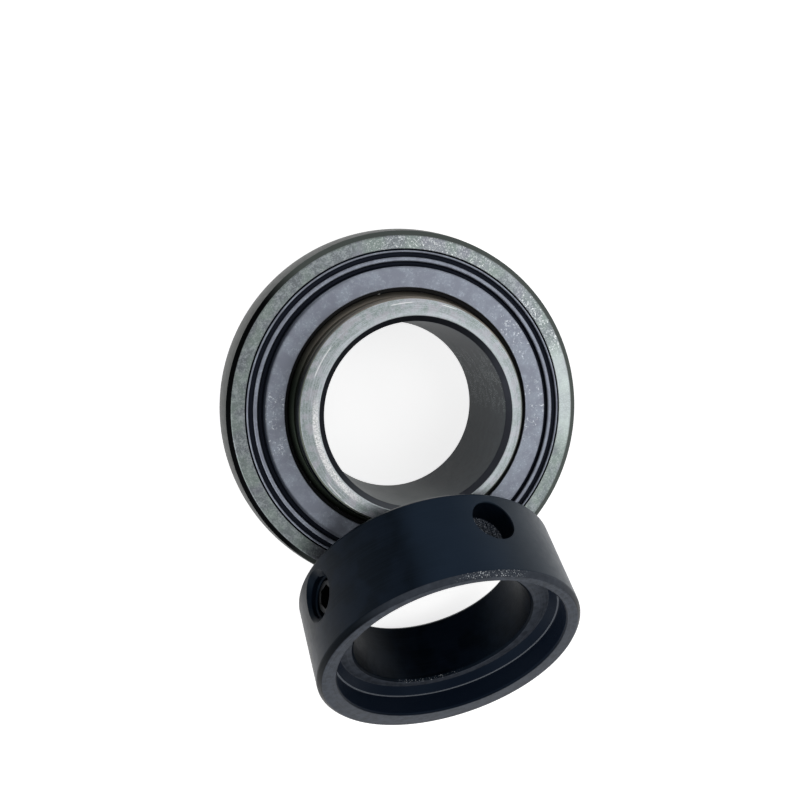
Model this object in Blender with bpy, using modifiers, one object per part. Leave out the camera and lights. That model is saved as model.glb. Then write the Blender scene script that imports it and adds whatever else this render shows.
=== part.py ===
"""Insert ball bearing with its eccentric locking collar, for a 35 mm shaft.

The bearing stands on the short end of its inner ring, with its axis vertical. The locking collar,
which a fitter slides over the cam at the top and turns tight, leans on the bearing with its back
face and stands on the lower edge of that face. Lengths are in metres, +Z is up, and the origin is
the middle of the footprint, on the ground.
"""

from math import acos, asin, cos, hypot, pi, radians, sin, sqrt, tan

import bmesh
import bpy
from mathutils import Matrix, Vector

MM = 0.001

# Driving sizes of the bearing
SHAFT_RADIUS = 17.5 * MM
BALL_RADIUS = 5.556 * MM
BALL_COUNT = 9
INNER_RACE_WALL = 3.604 * MM
OUTER_RACE_WALL = 3.604 * MM
SHOULDER_OFFSET = 3.45 * MM
END_SPACE = 2.944 * MM
SHORT_END = 1.0 * MM
LONG_END = 9.6 * MM

# Clearances
SEAT_GAP = 0.3 * MM
RUNNING_GAP = 0.09 * MM
LIP_GAP = 0.1 * MM
POCKET_GAP = 0.3 * MM
SHIELD_GAP = 0.75 * MM
RECESS_GAP = 0.95 * MM
LEAN_GAP = 0.1 * MM

# Outer ring
RIM_CHAMFER = 1.1 * MM
RIM_CHAMFER_HEIGHT = 0.5 * MM
MOUTH_WALL = 4.45 * MM
GROOVE_WALL = 3.9 * MM
LIP_HEIGHT = 0.5 * MM
GROOVE_HEIGHT = 1.2 * MM
GROOVE_SLOPE = 0.7 * MM
RACE_CONFORMITY = 1.04

# Inner ring
BARREL_WALL = 4.75 * MM
LAND_END = 0.3 * MM
LAND_SLOPE = 0.8 * MM
CAM_DROP = 0.8 * MM
CAM_OFFSET = 1.0 * MM
CAM_HEIGHT = 4.0 * MM
CAM_DIRECTION = radians(141.0)
RELIEF_DEPTH = 0.15 * MM
RELIEF_HEIGHT = 1.0 * MM
END_CHAMFER = 0.4 * MM
BORE_CHAMFER = 1.1 * MM

# Shield, pressed from sheet, measured inwards from the mouth of the outer ring
SHEET = 0.5 * MM
BEAD_WIDTH = 0.35 * MM
BEAD_HEIGHT = 0.15 * MM
VALLEY_WIDTH = 0.85 * MM
VALLEY_DEPTH = 0.6 * MM
RIDGE_WIDTH = 1.0 * MM
RIDGE_HEIGHT = 0.1 * MM
STEP_WIDTH = 0.7 * MM
STEP_DEPTH = 0.75 * MM
DRAFT = 0.1 * MM
COVER_SLOPE = 0.4 * MM
COVER_HEIGHT = 0.95 * MM

# Seal lip of rubber under the shield
SEAL_THICKNESS = 0.7 * MM
LIP_DROP = 0.65 * MM
LIP_WIDTH = 0.3 * MM

# Cage of two pressed halves, with its rivets
CAGE_HALF_WIDTH = 1.9 * MM
CAGE_SHEET = 0.7 * MM
RIVET_RADIUS = 0.8 * MM
RIVET_HEAD_RADIUS = 1.5 * MM
RIVET_HEAD_HEIGHT = 0.75 * MM
RIVET_CROWN = 0.25 * MM

# Locking collar, with its own axis from the back face to the front face
COLLAR_WALL = 2.3 * MM
COLLAR_LENGTH = 18.7 * MM
COLLAR_CLEARANCE = 0.3 * MM
COLLAR_CHAMFER = 0.8 * MM
COLLAR_BORE_CHAMFER = 0.6 * MM
COLLAR_LEAN = radians(49.1)
COLLAR_SIDE_SHIFT = -1.2 * MM
RECESS_OFFSET = 1.3 * MM
RECESS_DIRECTION = radians(81.0)
RECESS_DEPTH = 4.1 * MM
RECESS_CHAMFER = 0.35 * MM
LEDGE_WIDTH = 0.25 * MM
FLOOR_DEPTH = 5.6 * MM
FLOOR_SLOPE = 1.25 * MM
ENTRY_CHAMFER = 0.45 * MM

# Holes round the collar, as angles from its right-hand side towards its top
HOLE_HEIGHT = 6.7 * MM
SCREW_ANGLE = radians(153.5)
SCREW_HOLE_RADIUS = 4.0 * MM
SCREW_HOLE_CHAMFER = 1.0 * MM
SPANNER_ANGLE = radians(67.0)
SPANNER_HOLE_RADIUS = 4.25 * MM
SPANNER_HOLE_CHAMFER = 0.15 * MM
SPANNER_HOLE_DEPTH = 4.6 * MM
DRILL_POINT = radians(31.0)

# Set screw
SCREW_LENGTH = 5.0 * MM
SCREW_RECESS = 2.0 * MM
SCREW_CHAMFER = 0.5 * MM
SCREW_POINT = 0.8 * MM
CUP_RADIUS = 1.8 * MM
SOCKET_ACROSS_FLATS = 4.0 * MM
SOCKET_DEPTH = 2.5 * MM

# Facets: a full turn of each turned piece, and the parts of its arcs
RING_STEPS = 60
SHIELD_STEPS = 48
HOLE_STEPS = 20
RIVET_STEPS = 8
BALL_STEPS = 14
BALL_RINGS = 8
RACE_PARTS = 8
SPHERE_PARTS = 6
SECTIONS_PER_BALL = 8
FACE_SAMPLES = 180
FACE_RADII = 12
SHARP_ANGLE = radians(30.0)
MERGE_DISTANCE = 0.001 * MM
CUT_MARGIN = 1.0 * MM

# Sizes that follow from those above
PITCH_RADIUS = SHAFT_RADIUS + INNER_RACE_WALL + RUNNING_GAP + BALL_RADIUS
OUTER_RADIUS = PITCH_RADIUS + BALL_RADIUS + RUNNING_GAP + OUTER_RACE_WALL
RACE_RADIUS = BALL_RADIUS * RACE_CONFORMITY
LAND_RADIUS = PITCH_RADIUS - SHOULDER_OFFSET
SHOULDER_RADIUS = PITCH_RADIUS + SHOULDER_OFFSET
BARREL_RADIUS = SHAFT_RADIUS + BARREL_WALL
CAM_RADIUS = BARREL_RADIUS - CAM_DROP
MOUTH_RADIUS = OUTER_RADIUS - MOUTH_WALL
GROOVE_RADIUS = OUTER_RADIUS - GROOVE_WALL
FACE_Z = BALL_RADIUS + END_SPACE
TOP_Z = FACE_Z + LONG_END
BOTTOM_Z = -FACE_Z - SHORT_END
CAM_BASE_Z = TOP_Z - CAM_HEIGHT
RELIEF_BASE_Z = CAM_BASE_Z - RELIEF_HEIGHT
COVER_INNER_RADIUS = max(LAND_RADIUS, BARREL_RADIUS) + SHIELD_GAP
COLLAR_BORE_RADIUS = SHAFT_RADIUS + COLLAR_CLEARANCE
RECESS_RADIUS = CAM_RADIUS + RECESS_GAP
COLLAR_RADIUS = RECESS_RADIUS + RECESS_OFFSET + COLLAR_WALL
BALL_SPACING = 2 * pi / BALL_COUNT


def clear_scene():
    """Remove every object, so the script can be run again in an open file."""
    for old in list(bpy.data.objects):
        bpy.data.objects.remove(old, do_unlink=True)


def new_collection(name):
    collection = bpy.data.collections.new(name)
    bpy.context.scene.collection.children.link(collection)
    return collection


def new_material(name, colour, metallic, roughness):
    """Principled finish with the colour given as linear red, green and blue."""
    material = bpy.data.materials.new(name)
    material.use_nodes = True
    shader = material.node_tree.nodes["Principled BSDF"]
    shader.inputs["Base Color"].default_value = (*colour, 1.0)
    shader.inputs["Metallic"].default_value = metallic
    shader.inputs["Roughness"].default_value = roughness
    return material


def new_empty(name, parent=None, matrix=None):
    empty = bpy.data.objects.new(name, None)
    empty.empty_display_size = OUTER_RADIUS / 2
    empty.parent = parent
    empty.matrix_local = matrix or Matrix.Identity(4)
    PARTS.objects.link(empty)
    return empty


def new_object(name, mesh, material, parent, location=(0.0, 0.0, 0.0)):
    piece = bpy.data.objects.new(name, mesh)
    if not mesh.materials:
        mesh.materials.append(material)
    piece.parent = parent
    piece.location = location
    PARTS.objects.link(piece)
    return piece


def new_cutter(name, mesh, parent, matrix=None):
    """A shape that only takes material away, kept out of the renders."""
    cutter = bpy.data.objects.new(name, mesh)
    cutter.parent = parent
    cutter.matrix_local = matrix or Matrix.Identity(4)
    cutter.hide_render = True
    cutter.display_type = "WIRE"
    CUTTERS.objects.link(cutter)
    return cutter


def cut(piece, cutter):
    boolean = piece.modifiers.new(cutter.name, "BOOLEAN")
    boolean.operation = "DIFFERENCE"
    boolean.solver = "EXACT"
    boolean.object = cutter


def outline_mesh(name, points):
    """Mesh of edges through radius and height pairs; it stays open where both ends are on the axis."""
    on_axis = points[0][0] == 0.0 and points[-1][0] == 0.0
    shape = bmesh.new()
    corners = [shape.verts.new((radius, 0.0, height)) for radius, height in points]
    for first, second in zip(corners, corners[1:]):
        shape.edges.new((first, second))
    if not on_axis:
        shape.edges.new((corners[-1], corners[0]))
    mesh = bpy.data.meshes.new(name)
    shape.to_mesh(mesh)
    shape.free()
    return mesh


def turn(piece, steps):
    """Sweep the outline of a piece once round its own Z axis."""
    screw = piece.modifiers.new("turn", "SCREW")
    screw.axis = "Z"
    screw.angle = 2 * pi
    screw.steps = steps
    screw.render_steps = steps
    screw.use_merge_vertices = True
    screw.merge_threshold = MERGE_DISTANCE
    return piece


def bake(piece):
    """Make the modifiers' result the mesh, smooth, with its real corners kept sharp."""
    graph = bpy.context.evaluated_depsgraph_get()
    mesh = bpy.data.meshes.new_from_object(piece.evaluated_get(graph))
    piece.modifiers.clear()
    piece.data = mesh
    mesh.shade_smooth()
    mesh.set_sharp_from_angle(angle=SHARP_ANGLE)


def arc(centre_radius, radius, start, end, parts):
    """Points of an arc in the plane of radius and height, centred at the height of the balls."""
    angles = [start + (end - start) * index / parts for index in range(parts + 1)]
    return [(centre_radius + radius * cos(angle), radius * sin(angle)) for angle in angles]


def below(points):
    """The same points at the lower side of the middle plane, in the same order."""
    return [(radius, -height) for radius, height in points]


def outer_ring_outline():
    """Spherical outside, flat faces, a seal groove at each end and the raceway between shoulders."""
    rim_z = FACE_Z - RIM_CHAMFER_HEIGHT
    rim_angle = asin(rim_z / OUTER_RADIUS)
    face_corner = (OUTER_RADIUS * cos(rim_angle) - RIM_CHAMFER, FACE_Z)
    sphere = arc(0.0, OUTER_RADIUS, rim_angle, -rim_angle, SPHERE_PARTS)
    groove_top = FACE_Z - LIP_HEIGHT
    groove_base = groove_top - GROOVE_HEIGHT
    seat = [
        (MOUTH_RADIUS, FACE_Z),
        (MOUTH_RADIUS, groove_top),
        (GROOVE_RADIUS, groove_top),
        (GROOVE_RADIUS, groove_base),
        (SHOULDER_RADIUS, groove_base - GROOVE_SLOPE),
    ]
    race_centre = PITCH_RADIUS + BALL_RADIUS + RUNNING_GAP - RACE_RADIUS
    half_angle = acos((SHOULDER_RADIUS - race_centre) / RACE_RADIUS)
    race = arc(race_centre, RACE_RADIUS, -half_angle, half_angle, RACE_PARTS)
    outside = [face_corner, *sphere, *below([face_corner])]
    return [*outside, *below(seat), *race, *reversed(seat)]


def inner_ring_outline():
    """Barrel with a relief groove under the cam, a land for the seal, the raceway and the bore."""
    relief_radius = CAM_RADIUS - CAM_OFFSET - RELIEF_DEPTH
    land_top = FACE_Z - LAND_END
    race_centre = PITCH_RADIUS - BALL_RADIUS - RUNNING_GAP + RACE_RADIUS
    half_angle = acos((race_centre - LAND_RADIUS) / RACE_RADIUS)
    race = arc(race_centre, RACE_RADIUS, pi - half_angle, pi + half_angle, RACE_PARTS)
    return [
        (BARREL_RADIUS - END_CHAMFER, TOP_Z),
        (BARREL_RADIUS, TOP_Z - END_CHAMFER),
        (BARREL_RADIUS, CAM_BASE_Z),
        (relief_radius, CAM_BASE_Z),
        (relief_radius, RELIEF_BASE_Z),
        (BARREL_RADIUS, RELIEF_BASE_Z),
        (BARREL_RADIUS, land_top + LAND_SLOPE),
        (LAND_RADIUS, land_top),
        *race,
        (LAND_RADIUS, BOTTOM_Z + END_CHAMFER),
        (LAND_RADIUS - END_CHAMFER, BOTTOM_Z),
        (SHAFT_RADIUS + BORE_CHAMFER, BOTTOM_Z),
        (SHAFT_RADIUS, BOTTOM_Z + BORE_CHAMFER),
        (SHAFT_RADIUS, TOP_Z - BORE_CHAMFER),
        (SHAFT_RADIUS + BORE_CHAMFER, TOP_Z),
    ]


def cam_cutter_outline():
    """Ring of waste round the cam; its flared top leaves the chamfer on the cam's upper edge."""
    waste_radius = BARREL_RADIUS + CAM_OFFSET + CUT_MARGIN
    waste_top = TOP_Z + CUT_MARGIN
    groove_middle = (CAM_BASE_Z + RELIEF_BASE_Z) / 2
    return [
        (waste_radius, waste_top),
        (waste_radius, groove_middle),
        (CAM_RADIUS, groove_middle),
        (CAM_RADIUS, TOP_Z - END_CHAMFER),
        (CAM_RADIUS - END_CHAMFER - CUT_MARGIN, waste_top),
    ]


def shield_radii():
    """Radii of the shield's folds, from its flange in the groove to the edge of its cover."""
    flange = GROOVE_RADIUS - SEAT_GAP
    bead = MOUTH_RADIUS - SEAT_GAP
    valley = bead - BEAD_WIDTH
    ridge = valley - VALLEY_WIDTH
    step = ridge - RIDGE_WIDTH
    cover = step - STEP_WIDTH - COVER_SLOPE
    return flange, bead, valley, ridge, step, cover


def shield_outline():
    """Upper shield: raised cover, step, ridge, valley, rolled bead, and the flange in its groove."""
    flange, bead, valley, ridge, step, cover = shield_radii()
    flange_top = FACE_Z - LIP_HEIGHT - SEAT_GAP
    flange_base = FACE_Z - LIP_HEIGHT - GROOVE_HEIGHT + SEAT_GAP
    cover_top = FACE_Z + COVER_HEIGHT
    return [
        (COVER_INNER_RADIUS, cover_top),
        (cover, cover_top),
        (cover + COVER_SLOPE, FACE_Z - STEP_DEPTH),
        (step, FACE_Z - STEP_DEPTH),
        (step + DRAFT, FACE_Z + RIDGE_HEIGHT),
        (ridge - DRAFT, FACE_Z + RIDGE_HEIGHT),
        (ridge, FACE_Z - VALLEY_DEPTH),
        (valley - DRAFT, FACE_Z - VALLEY_DEPTH),
        (valley, FACE_Z + BEAD_HEIGHT),
        (bead, FACE_Z + BEAD_HEIGHT),
        (bead, flange_top),
        (flange, flange_top),
        (flange, flange_base),
        (cover + COVER_SLOPE - DRAFT, flange_base),
        (cover - COVER_SLOPE, cover_top - SHEET),
        (COVER_INNER_RADIUS, cover_top - SHEET),
    ]


def seal_outline():
    """Upper seal: a flat ring of rubber under the cover, with a lip that runs on the land."""
    cover = shield_radii()[-1]
    outer = cover - COVER_SLOPE - SEAT_GAP
    inner = COVER_INNER_RADIUS + LIP_WIDTH
    top = FACE_Z + COVER_HEIGHT - SHEET - SEAT_GAP
    base = top - SEAL_THICKNESS
    lip = LAND_RADIUS + LIP_GAP
    return [
        (inner, top),
        (outer, top),
        (outer, base),
        (inner, base),
        (lip + LIP_WIDTH, base - LIP_DROP),
        (lip, base - LIP_DROP),
        (lip, base),
    ]


def mirrored_outline(points):
    """The outline turned upside down, run the other way round so that it still faces outwards."""
    return below(reversed(points))


def pocket_height(x, y):
    """Height of the cage's inner side over a point: a ball pocket, or the flat land between two."""
    land = SEAT_GAP / 2
    pocket_radius = BALL_RADIUS + POCKET_GAP
    for index in range(BALL_COUNT):
        angle = index * BALL_SPACING
        distance = hypot(x - PITCH_RADIUS * cos(angle), y - PITCH_RADIUS * sin(angle))
        if distance < pocket_radius:
            return max(land, sqrt(pocket_radius ** 2 - distance ** 2))
    return land


def cage_mesh(name, side):
    """Flat strip spun round the axis, raised over every ball; side is 1 for the upper half."""
    radii = [PITCH_RADIUS - CAGE_HALF_WIDTH, PITCH_RADIUS, PITCH_RADIUS + CAGE_HALF_WIDTH]
    strip = bmesh.new()
    corners = [strip.verts.new((radius, 0.0, 0.0)) for radius in radii]
    edges = [strip.edges.new(pair) for pair in zip(corners, corners[1:])]
    bmesh.ops.spin(
        strip,
        geom=corners + edges,
        cent=(0.0, 0.0, 0.0),
        axis=(0.0, 0.0, 1.0),
        angle=2 * pi,
        steps=BALL_COUNT * SECTIONS_PER_BALL,
        use_merge=True,
    )
    for corner in strip.verts:
        corner.co.z = side * pocket_height(corner.co.x, corner.co.y)
    strip.normal_update()
    for face in strip.faces:
        if face.normal.z * side < 0.0:
            face.normal_flip()
    mesh = bpy.data.meshes.new(name)
    strip.to_mesh(mesh)
    strip.free()
    return mesh


def round_bar_mesh(name, radius, height, steps, centres=((0.0, 0.0, 0.0),)):
    """Upright bars with closed ends, one at each centre."""
    bars = bmesh.new()
    for centre in centres:
        bmesh.ops.create_cone(
            bars,
            cap_ends=True,
            segments=steps,
            radius1=radius,
            radius2=radius,
            depth=height,
            matrix=Matrix.Translation(centre),
        )
    mesh = bpy.data.meshes.new(name)
    bars.to_mesh(mesh)
    bars.free()
    return mesh


def offset_vector(distance, angle):
    return Vector((distance * cos(angle), distance * sin(angle), 0.0))


def rivet_outline():
    head_base = SEAT_GAP / 2 + CAGE_SHEET + SEAT_GAP
    head_edge = head_base + RIVET_HEAD_HEIGHT - RIVET_CROWN
    half = [
        (0.0, head_base + RIVET_HEAD_HEIGHT),
        (RIVET_HEAD_RADIUS - RIVET_CROWN, head_edge),
        (RIVET_HEAD_RADIUS, head_base),
        (RIVET_RADIUS, head_base),
    ]
    return [*half, *below(reversed(half))]


def collar_outline():
    """Blank of the collar, its back face at height 0; the recess is cut afterwards."""
    floor_z = COLLAR_LENGTH - FLOOR_DEPTH
    entry_radius = COLLAR_BORE_RADIUS + ENTRY_CHAMFER
    return [
        (COLLAR_RADIUS - COLLAR_CHAMFER, COLLAR_LENGTH),
        (COLLAR_RADIUS, COLLAR_LENGTH - COLLAR_CHAMFER),
        (COLLAR_RADIUS, COLLAR_CHAMFER),
        (COLLAR_RADIUS - COLLAR_CHAMFER, 0.0),
        (COLLAR_BORE_RADIUS + COLLAR_BORE_CHAMFER, 0.0),
        (COLLAR_BORE_RADIUS, COLLAR_BORE_CHAMFER),
        (COLLAR_BORE_RADIUS, floor_z - ENTRY_CHAMFER),
        (entry_radius, floor_z),
        (entry_radius, COLLAR_LENGTH),
    ]


def recess_outline():
    """Eccentric recess that takes the cam: chamfered mouth, wall, ledge, slope and a flat floor."""
    ledge_z = COLLAR_LENGTH - RECESS_DEPTH
    ledge_radius = RECESS_RADIUS - LEDGE_WIDTH
    floor_z = COLLAR_LENGTH - FLOOR_DEPTH
    mouth = RECESS_RADIUS + RECESS_CHAMFER + CUT_MARGIN
    return [
        (0.0, COLLAR_LENGTH + CUT_MARGIN),
        (mouth, COLLAR_LENGTH + CUT_MARGIN),
        (RECESS_RADIUS, COLLAR_LENGTH - RECESS_CHAMFER),
        (RECESS_RADIUS, ledge_z),
        (ledge_radius, ledge_z),
        (ledge_radius - FLOOR_SLOPE, floor_z),
        (0.0, floor_z),
    ]


def screw_hole_outline():
    """Through hole, as heights from the collar's axis out past its side."""
    mouth = SCREW_HOLE_RADIUS + SCREW_HOLE_CHAMFER + CUT_MARGIN
    return [
        (0.0, COLLAR_RADIUS + CUT_MARGIN),
        (mouth, COLLAR_RADIUS + CUT_MARGIN),
        (SCREW_HOLE_RADIUS, COLLAR_RADIUS - SCREW_HOLE_CHAMFER),
        (SCREW_HOLE_RADIUS, COLLAR_BORE_RADIUS / 2),
        (0.0, COLLAR_BORE_RADIUS / 2),
    ]


def spanner_hole_outline():
    """Blind hole for the pin of a hook spanner, with the cone that the drill leaves."""
    mouth = SPANNER_HOLE_RADIUS + SPANNER_HOLE_CHAMFER + CUT_MARGIN
    base = COLLAR_RADIUS - SPANNER_HOLE_DEPTH
    return [
        (0.0, COLLAR_RADIUS + CUT_MARGIN),
        (mouth, COLLAR_RADIUS + CUT_MARGIN),
        (SPANNER_HOLE_RADIUS, COLLAR_RADIUS - SPANNER_HOLE_CHAMFER),
        (SPANNER_HOLE_RADIUS, base),
        (0.0, base - SPANNER_HOLE_RADIUS * tan(DRILL_POINT)),
    ]


def set_screw_outline():
    """Plain body of the screw, centred on its middle, with a cup point at the lower end."""
    radius = SCREW_HOLE_RADIUS - SEAT_GAP
    half = SCREW_LENGTH / 2
    return [
        (0.0, half),
        (radius - SCREW_CHAMFER, half),
        (radius, half - SCREW_CHAMFER),
        (radius, SCREW_POINT - half),
        (radius - SCREW_POINT, -half),
        (CUP_RADIUS, -half),
        (0.0, SCREW_POINT - half),
    ]


def collar_frame():
    """Matrix of the collar: local Z is its axis, local Y points up its back face.

    It stands with the lower edge of its back face on the ground, pushed in level with the ground
    until a point of that face is one lean gap away from the bearing.
    """
    up = Vector((0.0, sin(COLLAR_LEAN), cos(COLLAR_LEAN)))
    axis = Vector((0.0, -cos(COLLAR_LEAN), sin(COLLAR_LEAN)))
    foot_corners = [(COLLAR_RADIUS - COLLAR_CHAMFER, 0.0), (COLLAR_RADIUS, COLLAR_CHAMFER)]
    centre_z = max(radius * up.z - height * axis.z for radius, height in foot_corners)
    centre_y = 0.0
    inner = COLLAR_BORE_RADIUS + COLLAR_BORE_CHAMFER
    outer = COLLAR_RADIUS - COLLAR_CHAMFER
    for ring in range(FACE_RADII + 1):
        radius = inner + (outer - inner) * ring / FACE_RADII
        for sample in range(FACE_SAMPLES):
            angle = 2 * pi * sample / FACE_SAMPLES
            side = COLLAR_SIDE_SHIFT + radius * cos(angle)
            rise = radius * sin(angle)
            reach = bearing_radius(centre_z + rise * up.z) + LEAN_GAP
            if abs(side) < reach:
                centre_y = min(centre_y, -sqrt(reach ** 2 - side ** 2) - rise * up.y)
    rotation = Matrix(((1.0, up.x, axis.x), (0.0, up.y, axis.y), (0.0, up.z, axis.z)))
    centre = Vector((COLLAR_SIDE_SHIFT, centre_y, centre_z))
    return Matrix.LocRotScale(centre, rotation, None)


def bearing_radius(height):
    """Largest radius that the turning bearing sweeps at a height over the ground; 0 above it."""
    level = height + BOTTOM_Z
    if level > TOP_Z:
        return 0.0
    if level > FACE_Z:
        return BARREL_RADIUS - max(0.0, level - TOP_Z + END_CHAMFER)
    chamfer_start = FACE_Z - RIM_CHAMFER_HEIGHT
    sphere = sqrt(OUTER_RADIUS ** 2 - min(abs(level), chamfer_start) ** 2)
    share = max(0.0, level - chamfer_start) / RIM_CHAMFER_HEIGHT
    return sphere - RIM_CHAMFER * share


def footprint_shift(frame):
    """How far the bearing's axis stands behind the middle of the footprint."""
    up = frame.col[1]
    axis = frame.col[2]
    front_corners = [
        (COLLAR_RADIUS - COLLAR_CHAMFER, COLLAR_LENGTH),
        (COLLAR_RADIUS, COLLAR_LENGTH - COLLAR_CHAMFER),
    ]
    front = min(frame.translation.y + height * axis.y - radius * up.y for radius, height in front_corners)
    return -(front + OUTER_RADIUS) / 2


def build_outer_ring(parent):
    ring = new_object("outer_ring", outline_mesh("outer_ring", outer_ring_outline()), RING_STEEL, parent)
    bake(turn(ring, RING_STEPS))


def build_inner_ring(parent):
    ring = new_object("inner_ring", outline_mesh("inner_ring", inner_ring_outline()), RING_STEEL, parent)
    turn(ring, RING_STEPS)
    offset = offset_vector(CAM_OFFSET, CAM_DIRECTION)
    mesh = outline_mesh("cam_cutter", cam_cutter_outline())
    cutter = new_cutter("cam_cutter", mesh, parent, Matrix.Translation(offset))
    turn(cutter, RING_STEPS)
    cut(ring, cutter)
    bake(ring)


def build_shields(parent):
    upper = shield_outline()
    for name, outline in (("upper_shield", upper), ("lower_shield", mirrored_outline(upper))):
        shield = new_object(name, outline_mesh(name, outline), SHIELD_STEEL, parent)
        bake(turn(shield, SHIELD_STEPS))


def build_seal_lips(parent):
    upper = seal_outline()
    for name, outline in (("upper_seal_lip", upper), ("lower_seal_lip", mirrored_outline(upper))):
        seal = new_object(name, outline_mesh(name, outline), SEAL_RUBBER, parent)
        bake(turn(seal, RING_STEPS))


def build_balls(parent):
    shape = bmesh.new()
    bmesh.ops.create_uvsphere(shape, u_segments=BALL_STEPS, v_segments=BALL_RINGS, radius=BALL_RADIUS)
    mesh = bpy.data.meshes.new("ball")
    shape.to_mesh(mesh)
    shape.free()
    mesh.shade_smooth()
    for index in range(BALL_COUNT):
        new_object(f"ball_{index + 1}", mesh, BALL_STEEL, parent, offset_vector(PITCH_RADIUS, index * BALL_SPACING))


def rivet_points():
    return [offset_vector(PITCH_RADIUS, (index + 0.5) * BALL_SPACING) for index in range(BALL_COUNT)]


def build_cage(parent):
    hole_radius = RIVET_RADIUS + SEAT_GAP
    hole_height = 2 * (BALL_RADIUS + CUT_MARGIN)
    holes = round_bar_mesh("rivet_holes", hole_radius, hole_height, RIVET_STEPS, rivet_points())
    cutter = new_cutter("rivet_holes", holes, parent)
    for name, side in (("cage_upper", 1), ("cage_lower", -1)):
        half = new_object(name, cage_mesh(name, side), CAGE_STEEL, parent)
        sheet = half.modifiers.new("sheet", "SOLIDIFY")
        sheet.thickness = CAGE_SHEET
        sheet.offset = 1.0
        sheet.use_even_offset = True
        cut(half, cutter)
        bake(half)


def build_rivets(parent):
    for index, point in enumerate(rivet_points()):
        name = f"cage_rivet_{index + 1}"
        rivet = new_object(name, outline_mesh(name, rivet_outline()), CAGE_STEEL, parent, point)
        bake(turn(rivet, RIVET_STEPS))


def radial_matrix(angle, distance):
    """Place on the collar whose local Z points straight out from the collar's axis."""
    lift = Matrix.Translation((0.0, 0.0, HOLE_HEIGHT))
    aim = Matrix.Rotation(angle, 4, "Z") @ Matrix.Rotation(pi / 2, 4, "Y")
    return lift @ aim @ Matrix.Translation((0.0, 0.0, distance))


def build_collar(parent):
    mesh = outline_mesh("locking_collar", collar_outline())
    collar = new_object("locking_collar", mesh, COLLAR_STEEL, parent)
    turn(collar, RING_STEPS)
    recess_place = Matrix.Translation(offset_vector(RECESS_OFFSET, RECESS_DIRECTION))
    cuts = [
        ("recess_cutter", recess_outline(), recess_place, RING_STEPS),
        ("screw_hole_cutter", screw_hole_outline(), radial_matrix(SCREW_ANGLE, 0.0), HOLE_STEPS),
        ("spanner_hole_cutter", spanner_hole_outline(), radial_matrix(SPANNER_ANGLE, 0.0), HOLE_STEPS),
    ]
    for name, outline, place, steps in cuts:
        cutter = new_cutter(name, outline_mesh(name, outline), parent, place)
        cut(collar, turn(cutter, steps))
    bake(collar)


def build_set_screw(parent):
    middle = COLLAR_RADIUS - SCREW_RECESS - SCREW_LENGTH / 2
    place = radial_matrix(SCREW_ANGLE, middle)
    screw = new_object("set_screw", outline_mesh("set_screw", set_screw_outline()), SCREW_STEEL, parent)
    screw.matrix_local = place
    turn(screw, HOLE_STEPS)
    socket_radius = SOCKET_ACROSS_FLATS / 2 / cos(pi / 6)
    socket = round_bar_mesh("socket_cutter", socket_radius, 2 * SOCKET_DEPTH, 6)
    lift = Matrix.Translation((0.0, 0.0, SCREW_LENGTH / 2))
    cut(screw, new_cutter("socket_cutter", socket, parent, place @ lift))
    bake(screw)


clear_scene()
PARTS = new_collection("insert_bearing")
CUTTERS = new_collection("insert_bearing_cutters")
RING_STEEL = new_material("ring_steel", (0.28, 0.30, 0.29), 1.0, 0.3)
SHIELD_STEEL = new_material("shield_steel", (0.24, 0.27, 0.31), 1.0, 0.35)
SEAL_RUBBER = new_material("seal_rubber", (0.015, 0.015, 0.017), 0.0, 0.6)
BALL_STEEL = new_material("ball_steel", (0.55, 0.55, 0.56), 1.0, 0.1)
CAGE_STEEL = new_material("cage_steel", (0.4, 0.39, 0.37), 1.0, 0.35)
COLLAR_STEEL = new_material("collar_steel", (0.012, 0.015, 0.019), 0.6, 0.35)
SCREW_STEEL = new_material("screw_steel", (0.03, 0.03, 0.03), 0.8, 0.4)

COLLAR_FRAME = collar_frame()
AXIS_Y = footprint_shift(COLLAR_FRAME)
BEARING = new_empty("bearing_centre", matrix=Matrix.Translation((0.0, AXIS_Y, -BOTTOM_Z)))
INNER_AXIS = new_empty("inner_ring_axis", parent=BEARING)
CAGE_AXIS = new_empty("cage_axis", parent=BEARING)
COLLAR = new_empty("collar_back", matrix=Matrix.Translation((0.0, AXIS_Y, 0.0)) @ COLLAR_FRAME)

build_outer_ring(BEARING)
build_shields(BEARING)
build_seal_lips(BEARING)
build_inner_ring(INNER_AXIS)
build_balls(CAGE_AXIS)
build_cage(CAGE_AXIS)
build_rivets(CAGE_AXIS)
build_collar(COLLAR)
build_set_screw(COLLAR)
bpy.context.view_layer.update()
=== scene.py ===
# %% [markdown]
# Insert ball bearing with its eccentric locking collar.
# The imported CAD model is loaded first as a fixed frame: every piece made below stands exactly where
# its CAD node stands, and rides on the same body, so the rings still turn after the dressing.

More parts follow.
